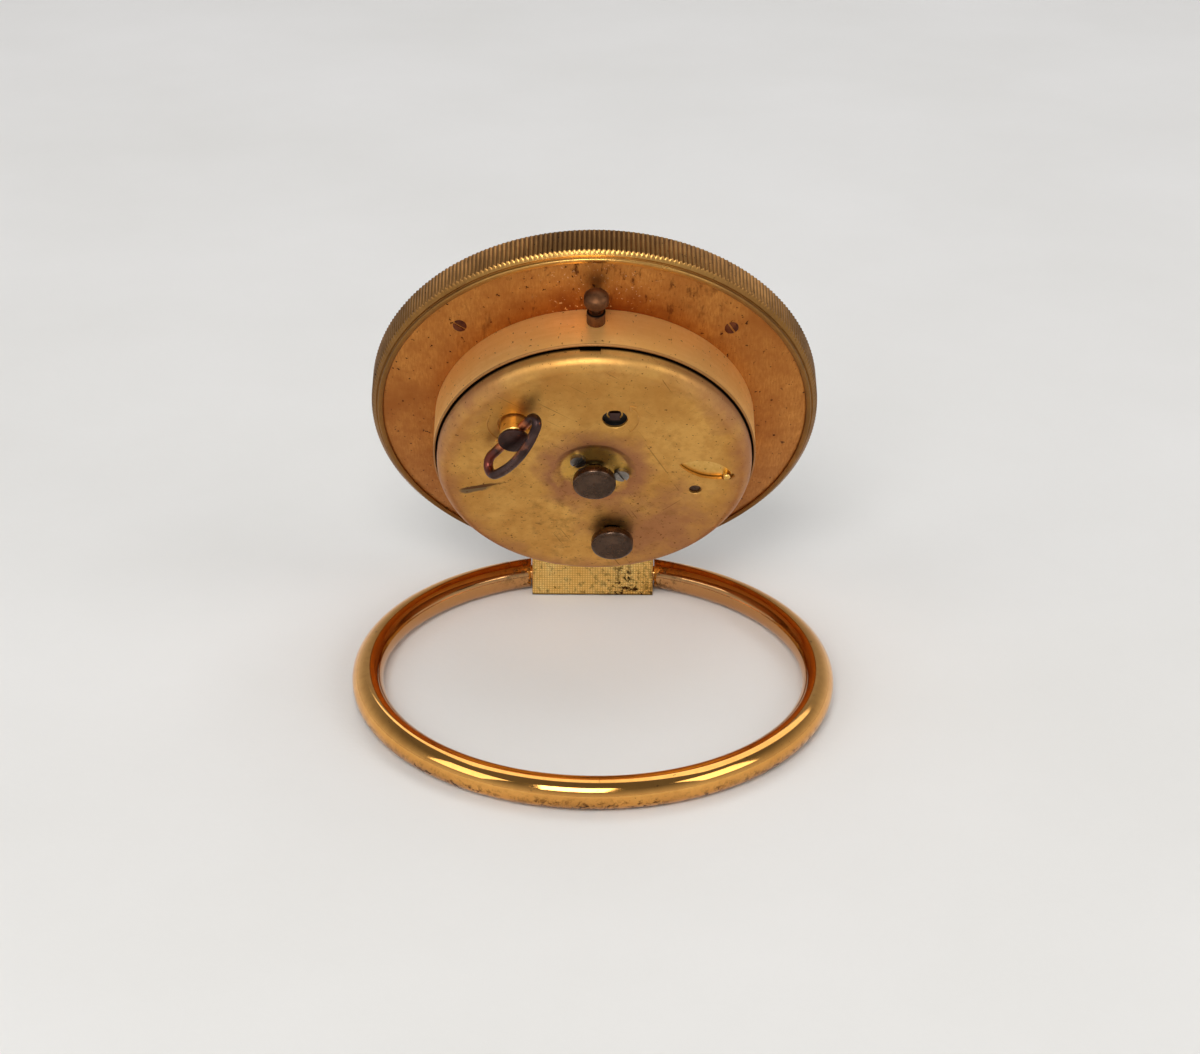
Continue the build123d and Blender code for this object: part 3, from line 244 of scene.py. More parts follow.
def carve(piece, cutters):
    """Cuts holes into a piece and drops the cutters."""
    for cutter in cutters:
        cut = piece.modifiers.new("cut", "BOOLEAN")
        cut.operation = "DIFFERENCE"
        cut.solver = "EXACT"
        cut.object = cutter
    bpy.context.view_layer.update()
    graph = bpy.context.evaluated_depsgraph_get()
    mesh = bpy.data.meshes.new_from_object(piece.evaluated_get(graph))
    piece.modifiers.clear()
    piece.data = mesh
    for cutter in cutters:
        bpy.data.objects.remove(cutter)
    mesh.shade_smooth()
    mesh.set_sharp_from_angle(angle=math.radians(35))


def arc_through(first, middle, last, steps=16):
    """Points of the round arc through three places, without the last one."""
    a, b, c = Vector(first), Vector(middle), Vector(last)
    far_a, far_b, far_c = a.length_squared, b.length_squared, c.length_squared
    divisor = 2 * (a.x * (b.y - c.y) + b.x * (c.y - a.y) + c.x * (a.y - b.y))
    x = (far_a * (b.y - c.y) + far_b * (c.y - a.y) + far_c * (a.y - b.y)) / divisor
    y = (far_a * (c.x - b.x) + far_b * (a.x - c.x) + far_c * (b.x - a.x)) / divisor
    centre = Vector((x, y))
    start = math.atan2(*reversed(a - centre))
    swing = math.atan2(*reversed(c - centre)) - start
    half = math.atan2(*reversed(b - centre)) - start
    swing = swing % (2 * math.pi)
    if half % (2 * math.pi) > swing:
        swing -= 2 * math.pi
    radius = (a - centre).length
    points = []
    for step in range(steps):
        angle = start + swing * step / steps
        points.append((x + radius * math.cos(angle), y + radius * math.sin(angle)))
    return points


# Materials, built from nodes
def tone(red, green, blue):
    """Colour written as it shows on a screen, from 0 to 255."""
    result = []
    for value in (red, green, blue):
        share = value / 255
        result.append(share / 12.92 if share <= 0.04045 else ((share + 0.055) / 1.055)**2.4)
    return (*result, 1)


class Paint:
    """A material and short ways to add nodes to it."""

    def __init__(self, name, metallic=0.0):
        self.material = bpy.data.materials.new(name)
        self.material.use_nodes = True
        self.nodes = self.material.node_tree.nodes
        self.links = self.material.node_tree.links
        self.shader = self.nodes["Principled BSDF"]
        self.shader.inputs["Metallic"].default_value = metallic
        self.coords = self.nodes.new("ShaderNodeTexCoord")

    def put(self, value, socket):
        """Sets or links an input."""
        if isinstance(value, bpy.types.NodeSocket):
            self.links.new(value, socket)
        else:
            socket.default_value = value

    def mapped(self, stretch=(1, 1, 1), turn=(0, 0, 0), shift=(0, 0, 0)):
        """Object coordinates, first turned, then stretched and shifted."""
        return self.stretched(self.turned(self.coords.outputs["Object"], turn), stretch, shift)

    def turned(self, vector, turn):
        """Vector turned about the axes."""
        if not any(turn):
            return vector
        mapping = self.nodes.new("ShaderNodeMapping")
        mapping.inputs["Rotation"].default_value = turn
        self.links.new(vector, mapping.inputs["Vector"])
        return mapping.outputs["Vector"]

    def stretched(self, vector, stretch, shift=(0, 0, 0)):
        """Vector stretched along the axes, then shifted."""
        mapping = self.nodes.new("ShaderNodeMapping")
        mapping.inputs["Scale"].default_value = stretch
        mapping.inputs["Location"].default_value = shift
        self.links.new(vector, mapping.inputs["Vector"])
        return mapping.outputs["Vector"]

    def noise(self, scale, detail=4.0, rough=0.55, stretch=(1, 1, 1), turn=(0, 0, 0), shift=(0, 0, 0)):
        """Cloudy pattern from 0 to 1."""
        texture = self.nodes.new("ShaderNodeTexNoise")
        texture.inputs["Scale"].default_value = scale
        texture.inputs["Detail"].default_value = detail
        texture.inputs["Roughness"].default_value = rough
        self.links.new(self.mapped(stretch, turn, shift), texture.inputs["Vector"])
        return texture.outputs["Fac"]

    def wave(self, scale, direction, turn=(0, 0, 0)):
        """Even stripes from 0 to 1."""
        texture = self.nodes.new("ShaderNodeTexWave")
        texture.bands_direction = direction
        texture.inputs["Scale"].default_value = scale
        texture.inputs["Distortion"].default_value = 0.4
        texture.inputs["Detail"].default_value = 1.0
        self.links.new(self.mapped(turn=turn), texture.inputs["Vector"])
        return texture.outputs["Fac"]

    def band(self, value, low, high, out_low=0.0, out_high=1.0):
        """Maps a range of values to another, held at its ends."""
        ranged = self.nodes.new("ShaderNodeMapRange")
        ranged.inputs["From Min"].default_value = low
        ranged.inputs["From Max"].default_value = high
        ranged.inputs["To Min"].default_value = out_low
        ranged.inputs["To Max"].default_value = out_high
        self.links.new(value, ranged.inputs["Value"])
        return ranged.outputs["Result"]

    def sum(self, operation, first, second):
        """Arithmetic on two values."""
        node = self.nodes.new("ShaderNodeMath")
        node.operation = operation
        self.put(first, node.inputs[0])
        self.put(second, node.inputs[1])
        return node.outputs[0]

    def blend(self, factor, first, second):
        """Mixes two colours, through the node's colour sockets."""
        mix = self.nodes.new("ShaderNodeMix")
        mix.data_type = "RGBA"
        self.put(factor, mix.inputs[0])
        self.put(first, mix.inputs[6])
        self.put(second, mix.inputs[7])
        return mix.outputs[2]

    def reach(self, x, y, stretch=(1, 1, 0), turn=0.0):
        """Distance in millimetres from a line along the depth at x, y."""
        flat = self.nodes.new("ShaderNodeVectorMath")
        flat.operation = "SUBTRACT"
        self.links.new(self.coords.outputs["Object"], flat.inputs[0])
        flat.inputs[1].default_value = (x * MM, y * MM, 0)
        spread = self.stretched(self.turned(flat.outputs[0], (0, 0, turn)), [part / MM for part in stretch])
        length = self.nodes.new("ShaderNodeVectorMath")
        length.operation = "LENGTH"
        self.links.new(spread, length.inputs[0])
        return length.outputs["Value"]

    def depth(self):
        """Coordinate along the depth, in metres."""
        split = self.nodes.new("ShaderNodeSeparateXYZ")
        self.links.new(self.coords.outputs["Object"], split.inputs[0])
        return split.outputs["Z"]

    def bump(self, height, strength, distance=0.00005):
        """Fine relief."""
        relief = self.nodes.new("ShaderNodeBump")
        relief.inputs["Strength"].default_value = strength
        relief.inputs["Distance"].default_value = distance
        self.links.new(height, relief.inputs["Height"])
        self.links.new(relief.outputs["Normal"], self.shader.inputs["Normal"])

    def linked(self, name):
        """What an input of the shader is linked to so far."""
        return self.shader.inputs[name].links[0].from_socket

    def colour(self, value):
        self.put(value, self.shader.inputs["Base Color"])

    def roughness(self, value):
        self.put(value, self.shader.inputs["Roughness"])


def aged_metal(name, bright, dull, dark, rough, patch=70, speck=(1300, 0.66), brush=None, relief=0.12,
               metallic=1.0):
    """Metal with cloudy tarnish, dark specks, fine grain and, where asked, brush lines."""
    paint = Paint(name, metallic)
    clouds = paint.band(paint.noise(patch, 6.0, 0.6), 0.36, 0.66)
    grain = paint.noise(2600, 3.0)
    mottle = paint.band(paint.noise(520, 5.0, 0.65), 0.42, 0.72)
    colour = paint.blend(clouds, bright, dull)
    colour = paint.blend(paint.sum("MULTIPLY", mottle, 0.55), colour, dull)
    height = paint.sum("MULTIPLY", grain, 0.4)
    if brush:
        lines = paint.noise(brush[0], 3.0, 0.6, stretch=brush[1])
        streak = paint.band(lines, 0.38, 0.62)
        colour = paint.blend(paint.sum("MULTIPLY", streak, 0.5), colour, dull)
        height = paint.sum("ADD", height, streak)
    specks = paint.band(paint.noise(speck[0], 3.0, 0.6), speck[1], speck[1] + 0.05)
    colour = paint.blend(specks, colour, dark)
    height = paint.sum("SUBTRACT", height, specks)
    paint.colour(colour)
    shine = paint.sum("ADD", paint.sum("MULTIPLY", clouds, 0.6), paint.sum("MULTIPLY", mottle, 0.4))
    paint.roughness(paint.band(shine, 0.0, 1.0, rough[0], rough[1]))
    paint.bump(height, relief)
    return paint


block_brass = aged_metal("block_brass", tone(255, 226, 144), tone(238, 188, 98), tone(60, 36, 14),
                         (0.26, 0.42))
dark_bronze = aged_metal("dark_bronze", tone(98, 78, 64), tone(60, 47, 39), tone(26, 19, 15), (0.2, 0.4),
                         patch=160, speck=(1600, 0.66))
brown_bronze = aged_metal("brown_bronze", tone(120, 80, 52), tone(76, 48, 31), tone(38, 24, 16), (0.42, 0.58),
                          patch=200, speck=(1400, 0.64))
rust_brown = aged_metal("rust_brown", tone(118, 66, 42), tone(76, 40, 28), tone(34, 20, 14), (0.4, 0.6),
                        patch=300)
dark_steel = aged_metal("dark_steel", tone(86, 66, 62), tone(50, 36, 34), tone(128, 66, 36), (0.3, 0.46),
                        patch=140, speck=(700, 0.66))
screw_steel = aged_metal("screw_steel", tone(168, 164, 158), tone(116, 110, 104), tone(40, 34, 30),
                         (0.24, 0.4), patch=260)
movement_brass = aged_metal("movement_brass", tone(238, 198, 116), tone(214, 166, 84), tone(150, 108, 52),
                            (0.3, 0.45), patch=60, brush=(1800, (1, 0.05, 1)))
hand_black = aged_metal("hand_black", tone(34, 32, 30), tone(22, 21, 20), tone(58, 50, 42), (0.3, 0.42),
                        metallic=0.3)
arrow_brass = aged_metal("arrow_brass", tone(214, 164, 88), tone(190, 138, 70), tone(120, 80, 44),
                         (0.4, 0.55))
spacer_paint = aged_metal("spacer_paint", tone(214, 196, 150), tone(196, 174, 124), tone(150, 124, 80),
                          (0.4, 0.55), metallic=0.0)


def cover_paint():
    """Golden sheet with mauve tarnish at its edge (thinned at the top, a painted highlight), round its dish
    and low on the right, with scrapes, scratches, pits and grime, and with painted shade above the key and on
    its wall inside the sleeve.
    """
    paint = Paint("cover_brass", 1.0)
    clouds = paint.band(paint.noise(70, 6.0, 0.62), 0.38, 0.68)
    mottle = paint.band(paint.noise(420, 6.0, 0.68), 0.44, 0.7)
    wander = paint.noise(160, 5.0, 0.65)
    gold = tone(224, 174, 94)
    tan = tone(196, 142, 70)
    mauve = tone(170, 114, 80)
    brown = tone(98, 62, 34)
    colour = paint.blend(clouds, gold, tan)
    colour = paint.blend(paint.sum("MULTIPLY", mottle, 0.6), colour, tan)
    middle = paint.reach(0, 0)
    colour = paint.blend(paint.band(middle, 6.7, 6.0, 0.0, 0.7), colour, tone(228, 184, 90))
    ragged = paint.sum("ADD", middle, paint.band(wander, 0.3, 0.7, -2.0, 2.0))
    # The mauve tarnish along the edge is thinned towards the top, painting the top of the rounded edge
    # lighter: a painted highlight.
    top = paint.band(paint.reach(0, 29), 26.0, 12.0)
    edge = paint.sum("MULTIPLY", paint.band(ragged, 25.0, 29.5), paint.band(top, 0.0, 1.0, 1.0, 0.25))
    around = paint.sum("MULTIPLY", paint.band(ragged, 5.8, 7.5), paint.band(ragged, 12.0, 8.2))
    low_right = paint.band(paint.sum("ADD", paint.reach(13, -16), paint.band(wander, 0.3, 0.7, -6.0, 6.0)),
                           15.0, 4.0)
    stain = paint.sum("MAXIMUM", paint.sum("MULTIPLY", edge, 0.75), paint.sum("MULTIPLY", around, 0.85))
    stain = paint.sum("MAXIMUM", stain, paint.sum("MULTIPLY", low_right, 0.75))
    colour = paint.blend(stain, colour, mauve)
    grime = paint.band(paint.noise(240, 8.0, 0.72), 0.52, 0.74)
    low_half = paint.band(paint.reach(-2, -12), 24.0, 6.0, 0.15, 0.65)
    colour = paint.blend(paint.sum("MULTIPLY", grime, low_half), colour, brown)
    shaky = paint.band(wander, 0.3, 0.7, -0.5, 0.5)
    scrape = paint.sum("ADD", paint.reach(-23.0, -4.9, (0.3, 1.1, 0), -0.24), shaky)
    colour = paint.blend(paint.band(scrape, 1.1, 0.8, 0.0, 0.95), colour, tone(124, 104, 76))
    scrape_edge = paint.sum("ADD", paint.reach(-21.4, -4.0, (0.09, 1, 0), -0.24),
                            paint.sum("MULTIPLY", shaky, 0.4))
    long_scratch = paint.band(paint.reach(11.7, 3.9, (0.18, 7, 0), 1.08), 1.0, 0.7, 0.0, 0.45)
    colour = paint.blend(long_scratch, colour, brown)
    # Painted shade: a dark patch just above the key hole, where the key's shadow and reflection fall on the
    # cover.
    key_shade = paint.sum("ADD", paint.reach(-12.6, 17.6, (0.7, 0.8, 0), 0.4),
                          paint.sum("MULTIPLY", shaky, 2.0))
    # The dark edge of the scrape is a real mark; the patch above the key is painted shade.
    marks_and_shade = paint.sum("MAXIMUM", paint.band(scrape_edge, 0.5, 0.3, 0.0, 0.9),
                      paint.band(key_shade, 2.2, 0.4, 0.0, 0.6))
    colour = paint.blend(marks_and_shade, colour, brown)
    scratches = []
    for turn, shift in ((0.8, 0.0), (-0.5, 0.31), (2.2, 0.67)):
        lines = paint.noise(2400, 2.0, 0.5, stretch=(1, 0.02, 1), turn=(0, 0, turn), shift=(shift, shift, 0))
        broken = paint.band(paint.noise(120, 3.0, shift=(shift, 0, 0)), 0.5, 0.62)
        scratches.append(paint.sum("MULTIPLY", paint.band(lines, 0.68, 0.72), broken))
    scratch = paint.sum("MAXIMUM", paint.sum("MAXIMUM", scratches[0], scratches[1]), scratches[2])
    colour = paint.blend(paint.sum("MULTIPLY", scratch, 0.6), colour, brown)
    pits = paint.band(paint.noise(1500, 3.0, 0.6), 0.655, 0.7)
    colour = paint.blend(paint.sum("MULTIPLY", pits, 0.85), colour, brown)
    flecks = paint.band(paint.noise(620, 6.0, 0.7, stretch=(1, 1.6, 1)), 0.58, 0.66)
    colour = paint.blend(paint.sum("MULTIPLY", flecks, low_half), colour, brown)
    # Painted shade: the cover's wall below the sleeve's rear edge, down in the gap, is painted near black.
    colour = paint.blend(paint.band(paint.depth(), 0.0096, 0.0091), colour, tone(22, 15, 10))
    paint.colour(colour)
    dullness = paint.sum("ADD", paint.sum("MULTIPLY", stain, 0.5), paint.sum("MULTIPLY", mottle, 0.5))
    paint.roughness(paint.band(dullness, 0.0, 1.0, 0.42, 0.58))
    height = paint.sum("SUBTRACT", paint.sum("MULTIPLY", paint.noise(2600, 3.0), 0.4), pits)
    paint.bump(paint.sum("SUBTRACT", height, scratch), 0.14)
    return paint


def sleeve_paint():
    """Brushed brass with a copper-brown rear edge, and its inner wall painted near black: painted shade in
    the gap round the cover.
    """
    paint = aged_metal("sleeve_brass", tone(254, 212, 140), tone(236, 182, 104), tone(130, 86, 44),
                       (0.5, 0.62), patch=40, brush=(1500, (0.06, 0.06, 1)))
    old = paint.linked("Base Color")
    edge = paint.band(paint.depth(), 0.0085, 0.0088, 0.0, 0.85)
    # Painted shade: the inner wall, facing the cover across the narrow gap, is painted near black.
    inside = paint.band(paint.reach(0, 0), 30.12, 30.0)
    paint.colour(paint.blend(inside, paint.blend(edge, old, tone(150, 100, 58)), tone(22, 15, 10)))
    return paint


def ring_paint():
    """Polished brass, painted browner on its inner side as painted shade, with dark specks along its outer
    foot and beside its cut ends.
    """
    paint = aged_metal("ring_brass", tone(244, 180, 96), tone(216, 152, 76), tone(92, 54, 22), (0.05, 0.15),
                       patch=30, speck=(800, 0.69), relief=0.03)
    old = paint.linked("Base Color")
    shine = paint.linked("Roughness")
    foot = paint.sum("MULTIPLY", paint.band(paint.depth(), 0.0036, 0.0016),
                     paint.band(paint.reach(0, pivot_reach), 42.3, 43.8))
    worn = paint.sum("MAXIMUM", foot, paint.band(paint.reach(0, 0), 22.0, 13.0, 0.0, 0.8))
    crumbs = paint.band(paint.noise(950, 6.0, 0.72), 0.49, 0.58)
    patches = paint.band(paint.noise(130, 4.0), 0.32, 0.52)
    rot = paint.sum("MULTIPLY", worn, paint.sum("MULTIPLY", crumbs, patches))
    film = paint.sum("MULTIPLY", foot, paint.band(paint.noise(90, 4.0), 0.35, 0.6, 0.1, 0.45))
    # Painted shade and reflection: the inner side of the tube, facing the middle of the ring, is painted
    # browner, for the dark reflections seen there.
    inside = paint.band(paint.reach(0, pivot_reach), 41.6, 40.4, 0.0, 0.8)
    inner_shaded = paint.blend(inside, old, tone(190, 142, 96))
    paint.colour(paint.blend(rot, paint.blend(film, inner_shaded, tone(150, 102, 54)), tone(66, 38, 18)))
    paint.roughness(paint.sum("ADD", shine, paint.sum("MULTIPLY", paint.sum("MAXIMUM", rot, film), 0.4)))
    return paint


def bezel_paint():
    """Tarnished ridges and front; the lip behind the ridges is painted from brown to bright gold towards the
    top, a painted highlight, and is smoother there.
    """
    paint = aged_metal("bezel_brass", tone(166, 120, 68), tone(106, 75, 42), tone(42, 27, 14), (0.34, 0.52),
                       patch=45, speck=(1200, 0.66))
    old = paint.linked("Base Color")
    dull = paint.linked("Roughness")
    lip = paint.sum("MULTIPLY", paint.band(paint.depth(), -0.0031, -0.0027),
                    paint.band(paint.noise(140, 5.0, 0.65), 0.3, 0.6, 0.95, 0.45))
    # Painted highlight: the lip's colour runs from brown to bright gold towards the top of the bezel.
    top = paint.band(paint.reach(0, 42), 27.0, 5.0)
    rubbed = paint.blend(top, tone(146, 104, 52), tone(236, 180, 96))
    paint.colour(paint.blend(lip, old, rubbed))
    paint.roughness(paint.sum("SUBTRACT", dull, paint.sum("MULTIPLY", paint.sum("MULTIPLY", lip, top), 0.22)))
    return paint


def loop_paint():
    """Dark wire, rubbed to copper where it enters the key and rusty at its wide end."""
    paint = aged_metal("loop_steel", tone(92, 72, 68), tone(54, 40, 38), tone(128, 66, 36), (0.26, 0.42),
                       patch=140, speck=(700, 0.66))
    old = paint.linked("Base Color")
    shaky = paint.band(paint.noise(500, 4.0), 0.3, 0.7, -0.6, 0.6)
    near = paint.band(paint.sum("ADD", paint.reach(0, 0, (1, 1, 1)), shaky), 5.0, 3.6)
    rusty = paint.band(paint.sum("ADD", paint.reach(-5.2, -7.0, (1, 1, 1)), shaky), 4.2, 2.0, 0.0, 0.7)
    paint.colour(paint.blend(near, paint.blend(rusty, old, tone(124, 58, 46)), tone(196, 116, 76)))
    return paint


def flange_paint():
    """Brushed gold, with a red-brown deposit and pale dust where the top of the drum meets it."""
    paint = aged_metal("flange_brass", tone(206, 141, 70), tone(162, 97, 43), tone(64, 34, 16), (0.38, 0.52),
                       patch=60, speck=(1000, 0.65), brush=(3000, (1, 0.2, 1)))
    old = paint.linked("Base Color")
    wander = paint.noise(220, 5.0, 0.65)
    ragged = paint.sum("ADD", paint.reach(0, 0), paint.band(wander, 0.3, 0.7, -1.6, 1.6))
    near = paint.band(ragged, 37.0, 30.8)
    above = paint.band(paint.reach(0, 35), 34.0, 6.0)
    deposit = paint.sum("MULTIPLY", paint.sum("MULTIPLY", near, above), 0.9)
    stained = paint.blend(deposit, old, tone(106, 48, 18))
    blots = paint.band(paint.noise(420, 5.0, 0.7, stretch=(1, 0.4, 1)), 0.57, 0.66)
    stained = paint.blend(paint.sum("MULTIPLY", blots, above), stained, tone(84, 42, 18))
    crumbs = paint.band(paint.noise(1700, 3.0, 0.6), 0.64, 0.68)
    dust = paint.sum("MULTIPLY", crumbs, paint.band(paint.reach(0, 33), 13.0, 3.0))
    paint.colour(paint.blend(dust, stained, tone(226, 186, 140)))
    return paint


bezel_brass = bezel_paint()
ring_brass = ring_paint()
sleeve_brass = sleeve_paint()
loop_steel = loop_paint()
cover_brass = cover_paint()
flange_brass = flange_paint()


def linen_block():
    """Adds the pressed cross-hatch of the foot block to its brass."""
    paint = block_brass
    pattern = paint.sum("MULTIPLY", paint.wave(620, "X"), paint.wave(620, "Z"))
    rear_face = paint.band(paint.reach(0, block_rear, (0, 1, 0)), 0.5, 0.1)
    weave = paint.sum("MAXIMUM", pattern, paint.sum("SUBTRACT", 0.5, paint.sum("MULTIPLY", rear_face, 0.5)))
    old = paint.linked("Base Color")
    woven = paint.blend(paint.band(weave, 0.0, 0.5, 0.35, 1.0), tone(196, 142, 66), old)
    ragged = paint.band(paint.noise(300, 5.0), 0.3, 0.7, -3.0, 3.0)
    corner = paint.sum("ADD", paint.reach(-8, 4.4, (1, 0, 1.0)), ragged)
    crumbs = paint.band(paint.noise(900, 4.0, 0.7), 0.49, 0.57)
    rot = paint.sum("MULTIPLY", paint.band(corner, 10.5, 3.0), crumbs)
    grime = paint.sum("MULTIPLY", paint.band(paint.noise(700, 4.0, 0.7), 0.55, 0.66), 0.6)
    # Painted shade: the lowest strip of the block, next to the floor, is painted dark.
    lower_edge = paint.band(paint.depth(), 0.0007, 0.0003, 0.0, 0.8)
    marks_and_shade = paint.sum("MAXIMUM", paint.sum("MAXIMUM", rot, grime), lower_edge)
    paint.colour(paint.blend(marks_and_shade, woven, tone(58, 36, 16)))
    paint.bump(paint.sum("SUBTRACT", weave, rot), 0.35, 0.0001)


linen_block()

dial_paint = Paint("dial_paint")
dial_cloud = dial_paint.band(dial_paint.noise(40, 6.0, 0.6), 0.35, 0.7)
dial_colour = dial_paint.blend(dial_cloud, tone(236, 226, 200), tone(226, 212, 178))
dial_spots = dial_paint.band(dial_paint.noise(900, 2.0), 0.7, 0.74)
dial_edge = dial_paint.band(dial_paint.reach(0, 0), 33.0, 39.0, 0.0, 0.35)
dial_colour = dial_paint.blend(dial_edge, dial_colour, tone(200, 178, 132))
dial_paint.colour(dial_paint.blend(dial_spots, dial_colour, tone(150, 122, 84)))
dial_paint.roughness(dial_paint.band(dial_cloud, 0.0, 1.0, 0.42, 0.58))
dial_paint.bump(dial_paint.noise(1800, 3.0), 0.05)

dial_ink = aged_metal("dial_ink", tone(36, 32, 30), tone(48, 42, 38), tone(90, 78, 66), (0.4, 0.6),
                      metallic=0.0)
lume_paint = aged_metal("lume_paint", tone(206, 206, 150), tone(190, 182, 120), tone(140, 124, 78),
                        (0.6, 0.8), metallic=0.0)
alarm_red = aged_metal("alarm_red", tone(168, 44, 34), tone(140, 34, 28), tone(80, 24, 20), (0.3, 0.45),
                       metallic=0.0)

clear_glass = Paint("clear_glass")
clear_glass.shader.inputs["Transmission Weight"].default_value = 1.0
clear_glass.shader.inputs["IOR"].default_value = 1.47
clear_glass.shader.inputs["Alpha"].default_value = 0.35
clear_glass.colour(clear_glass.blend(clear_glass.noise(60, 3.0), tone(250, 252, 250), tone(244, 248, 246)))
clear_glass.roughness(clear_glass.band(clear_glass.noise(1400, 3.0), 0.6, 0.75, 0.01, 0.08))

slot_paints = {
    "bezel_brass": bezel_brass, "clear_glass": clear_glass, "dial_paint": dial_paint,
    "flange_brass": flange_brass, "sleeve_brass": sleeve_brass, "cover_brass": cover_brass,
    "block_brass": block_brass, "ring_brass": ring_brass, "dark_bronze": dark_bronze,
    "dark_steel": dark_steel, "screw_steel": screw_steel, "hand_black": hand_black,
    "spacer_paint": spacer_paint, "movement_brass": movement_brass,
}

# Every solid that stays on show gets the material of its slot
node_slots = {row["node"]: row["material_slot"] for row in frame["record"]["subparts"]}
for node_name, node_object in frame["nodes"].items():
    material = slot_paints[node_slots[node_name]].material
    node_object.data.materials.clear()
    node_object.data.materials.append(material)


def dress(piece, paint, body, slot, *replaced):
    """Gives a piece its material and its body, and hides the solids that it stands for. The slot argument is
    not used.
    """
    piece.data.materials.clear()
    piece.data.materials.append(paint.material)
    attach(piece, body)
    if replaced:
        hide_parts(*replaced)


# Bezel with a finely ridged edge
ridge_root = rim_radius - ridge_height
bezel_rows = [
    (39.4, -2.9), (40.4, -2.9), (40.4, -1.76), (40.44, -1.64), (40.52, -1.57), (40.64, -1.55),
    (41.16, -1.55), (41.28, -1.57), (41.36, -1.64), (41.4, -1.76), (41.4, -2.22), (41.46, -2.27),
    (41.7, -2.27), (41.77, -2.25), (41.95, -2.42), (42.25, -2.74, 0.25), (ridge_root, -2.95, 0.6),
    (ridge_root, -3.2, 1), (ridge_root, -8.0, 1), (ridge_root, -8.26), (ridge_root - 0.06, -8.34),
    (41.36, -8.94), (41.24, -9.0), (37.24, -9.0), (37.08, -8.94), (37.0, -8.78), (37.0, -7.9), (39.4, -7.9),
]
dress(lathe("bezel_ridged", bezel_rows, head, ridge_count * 8, True, ridge_count, ridge_height),
      bezel_brass, "case", "bezel_brass", "bezel")

# Flange, its screws, sleeve and cover
flange_outer = sleeve_radius + flange_width
flange_rows = soften([(sleeve_radius, -flange_thickness), (sleeve_radius, 0), (flange_outer, -flange_drop),
                      (flange_outer, -flange_drop - flange_thickness)], 0.06, True)
dress(lathe("flange_plate", flange_rows, head, 256, True), flange_brass, "case", "flange_brass", "flange")

# Flush screws of the flange, each set square to its slope
flange_slope = math.atan(flange_drop / flange_width)
screw_depth = -0.93
for number, (angle, slot_turn) in enumerate(zip(flange_screw_angles, flange_screw_slot_angles), 1):
    turn = math.radians(angle)
    place = spot(flange_screw_reach * math.cos(turn), flange_screw_reach * math.sin(turn), screw_depth)
    place = place @ Matrix.Rotation(turn, 4, "Z")
    place = place @ Matrix.Rotation(flange_slope, 4, "Y")
    rows = [(0, -0.6), (1.3, -0.6), (1.3, 0.04), (1.22, 0.1), (0.9, 0.14), (0, 0.16)]
    screw = lathe(f"flange_screw_head_{number}", rows, place, 48)
    bar = slab("slot", [(-2, -0.17), (2, -0.17), (2, 0.17), (-2, 0.17)], -0.15, 1,
               place @ Matrix.Rotation(math.radians(slot_turn), 4, "Z"))
    carve(screw, [bar])
    dress(screw, rust_brown, "case", "screw_steel", f"flange_screw_{number}")

sleeve_inner = sleeve_radius - sleeve_wall
sleeve_rows = soften([(sleeve_inner, -flange_thickness), (sleeve_radius, -flange_thickness),
                      (sleeve_radius, sleeve_rear - sleeve_edge), (sleeve_radius - sleeve_edge, sleeve_rear),
                      (sleeve_inner, sleeve_rear)], 0.1, True)
dress(lathe("sleeve_band", sleeve_rows, head, 256, True), sleeve_brass, "case", "sleeve_brass", "sleeve")

cover_rows = [(centre_hole_radius, dish_floor), (dish_floor_radius - 0.25, dish_floor),
              (dish_floor_radius, dish_floor + 0.08), (dish_floor_radius + 0.3, dish_floor + 0.32),
              (dish_mouth_radius - 0.3, cover_rear - 0.22), (dish_mouth_radius, cover_rear - 0.05),
              (dish_mouth_radius + 0.3, cover_rear)]
for step in range(13):
    angle = math.pi / 2 * step / 12
    cover_rows.append((cover_radius - cover_round + cover_round * math.sin(angle),
                       cover_rear - cover_round + cover_round * math.cos(angle)))
cover_rows += [(cover_radius, cover_front), (cover_radius - cover_wall, cover_front)]
inner_round = cover_round - cover_wall
for step in range(7):
    angle = math.pi / 2 * (1 - step / 6)
    cover_rows.append((cover_radius - cover_round + inner_round * math.sin(angle),
                       cover_rear - cover_round + inner_round * math.cos(angle)))
cover_rows += [(dish_mouth_radius - 0.3, cover_rear - cover_wall),
               (dish_floor_radius - 0.3, dish_floor - cover_wall),
               (centre_hole_radius, dish_floor - cover_wall)]
cover_piece = lathe("cover_cup", cover_rows, head, 224, True)


def hole_cutter(place, radius):
    """Cutter for a hole with a slightly broken edge."""
    rows = [(0, cover_front - 1), (radius, cover_front - 1), (radius, cover_rear - 0.14),
            (radius + 0.2, cover_rear + 0.06), (radius + 0.2, cover_rear + 1), (0, cover_rear + 1)]
    return lathe("cutter", rows, spot(*place), 56)


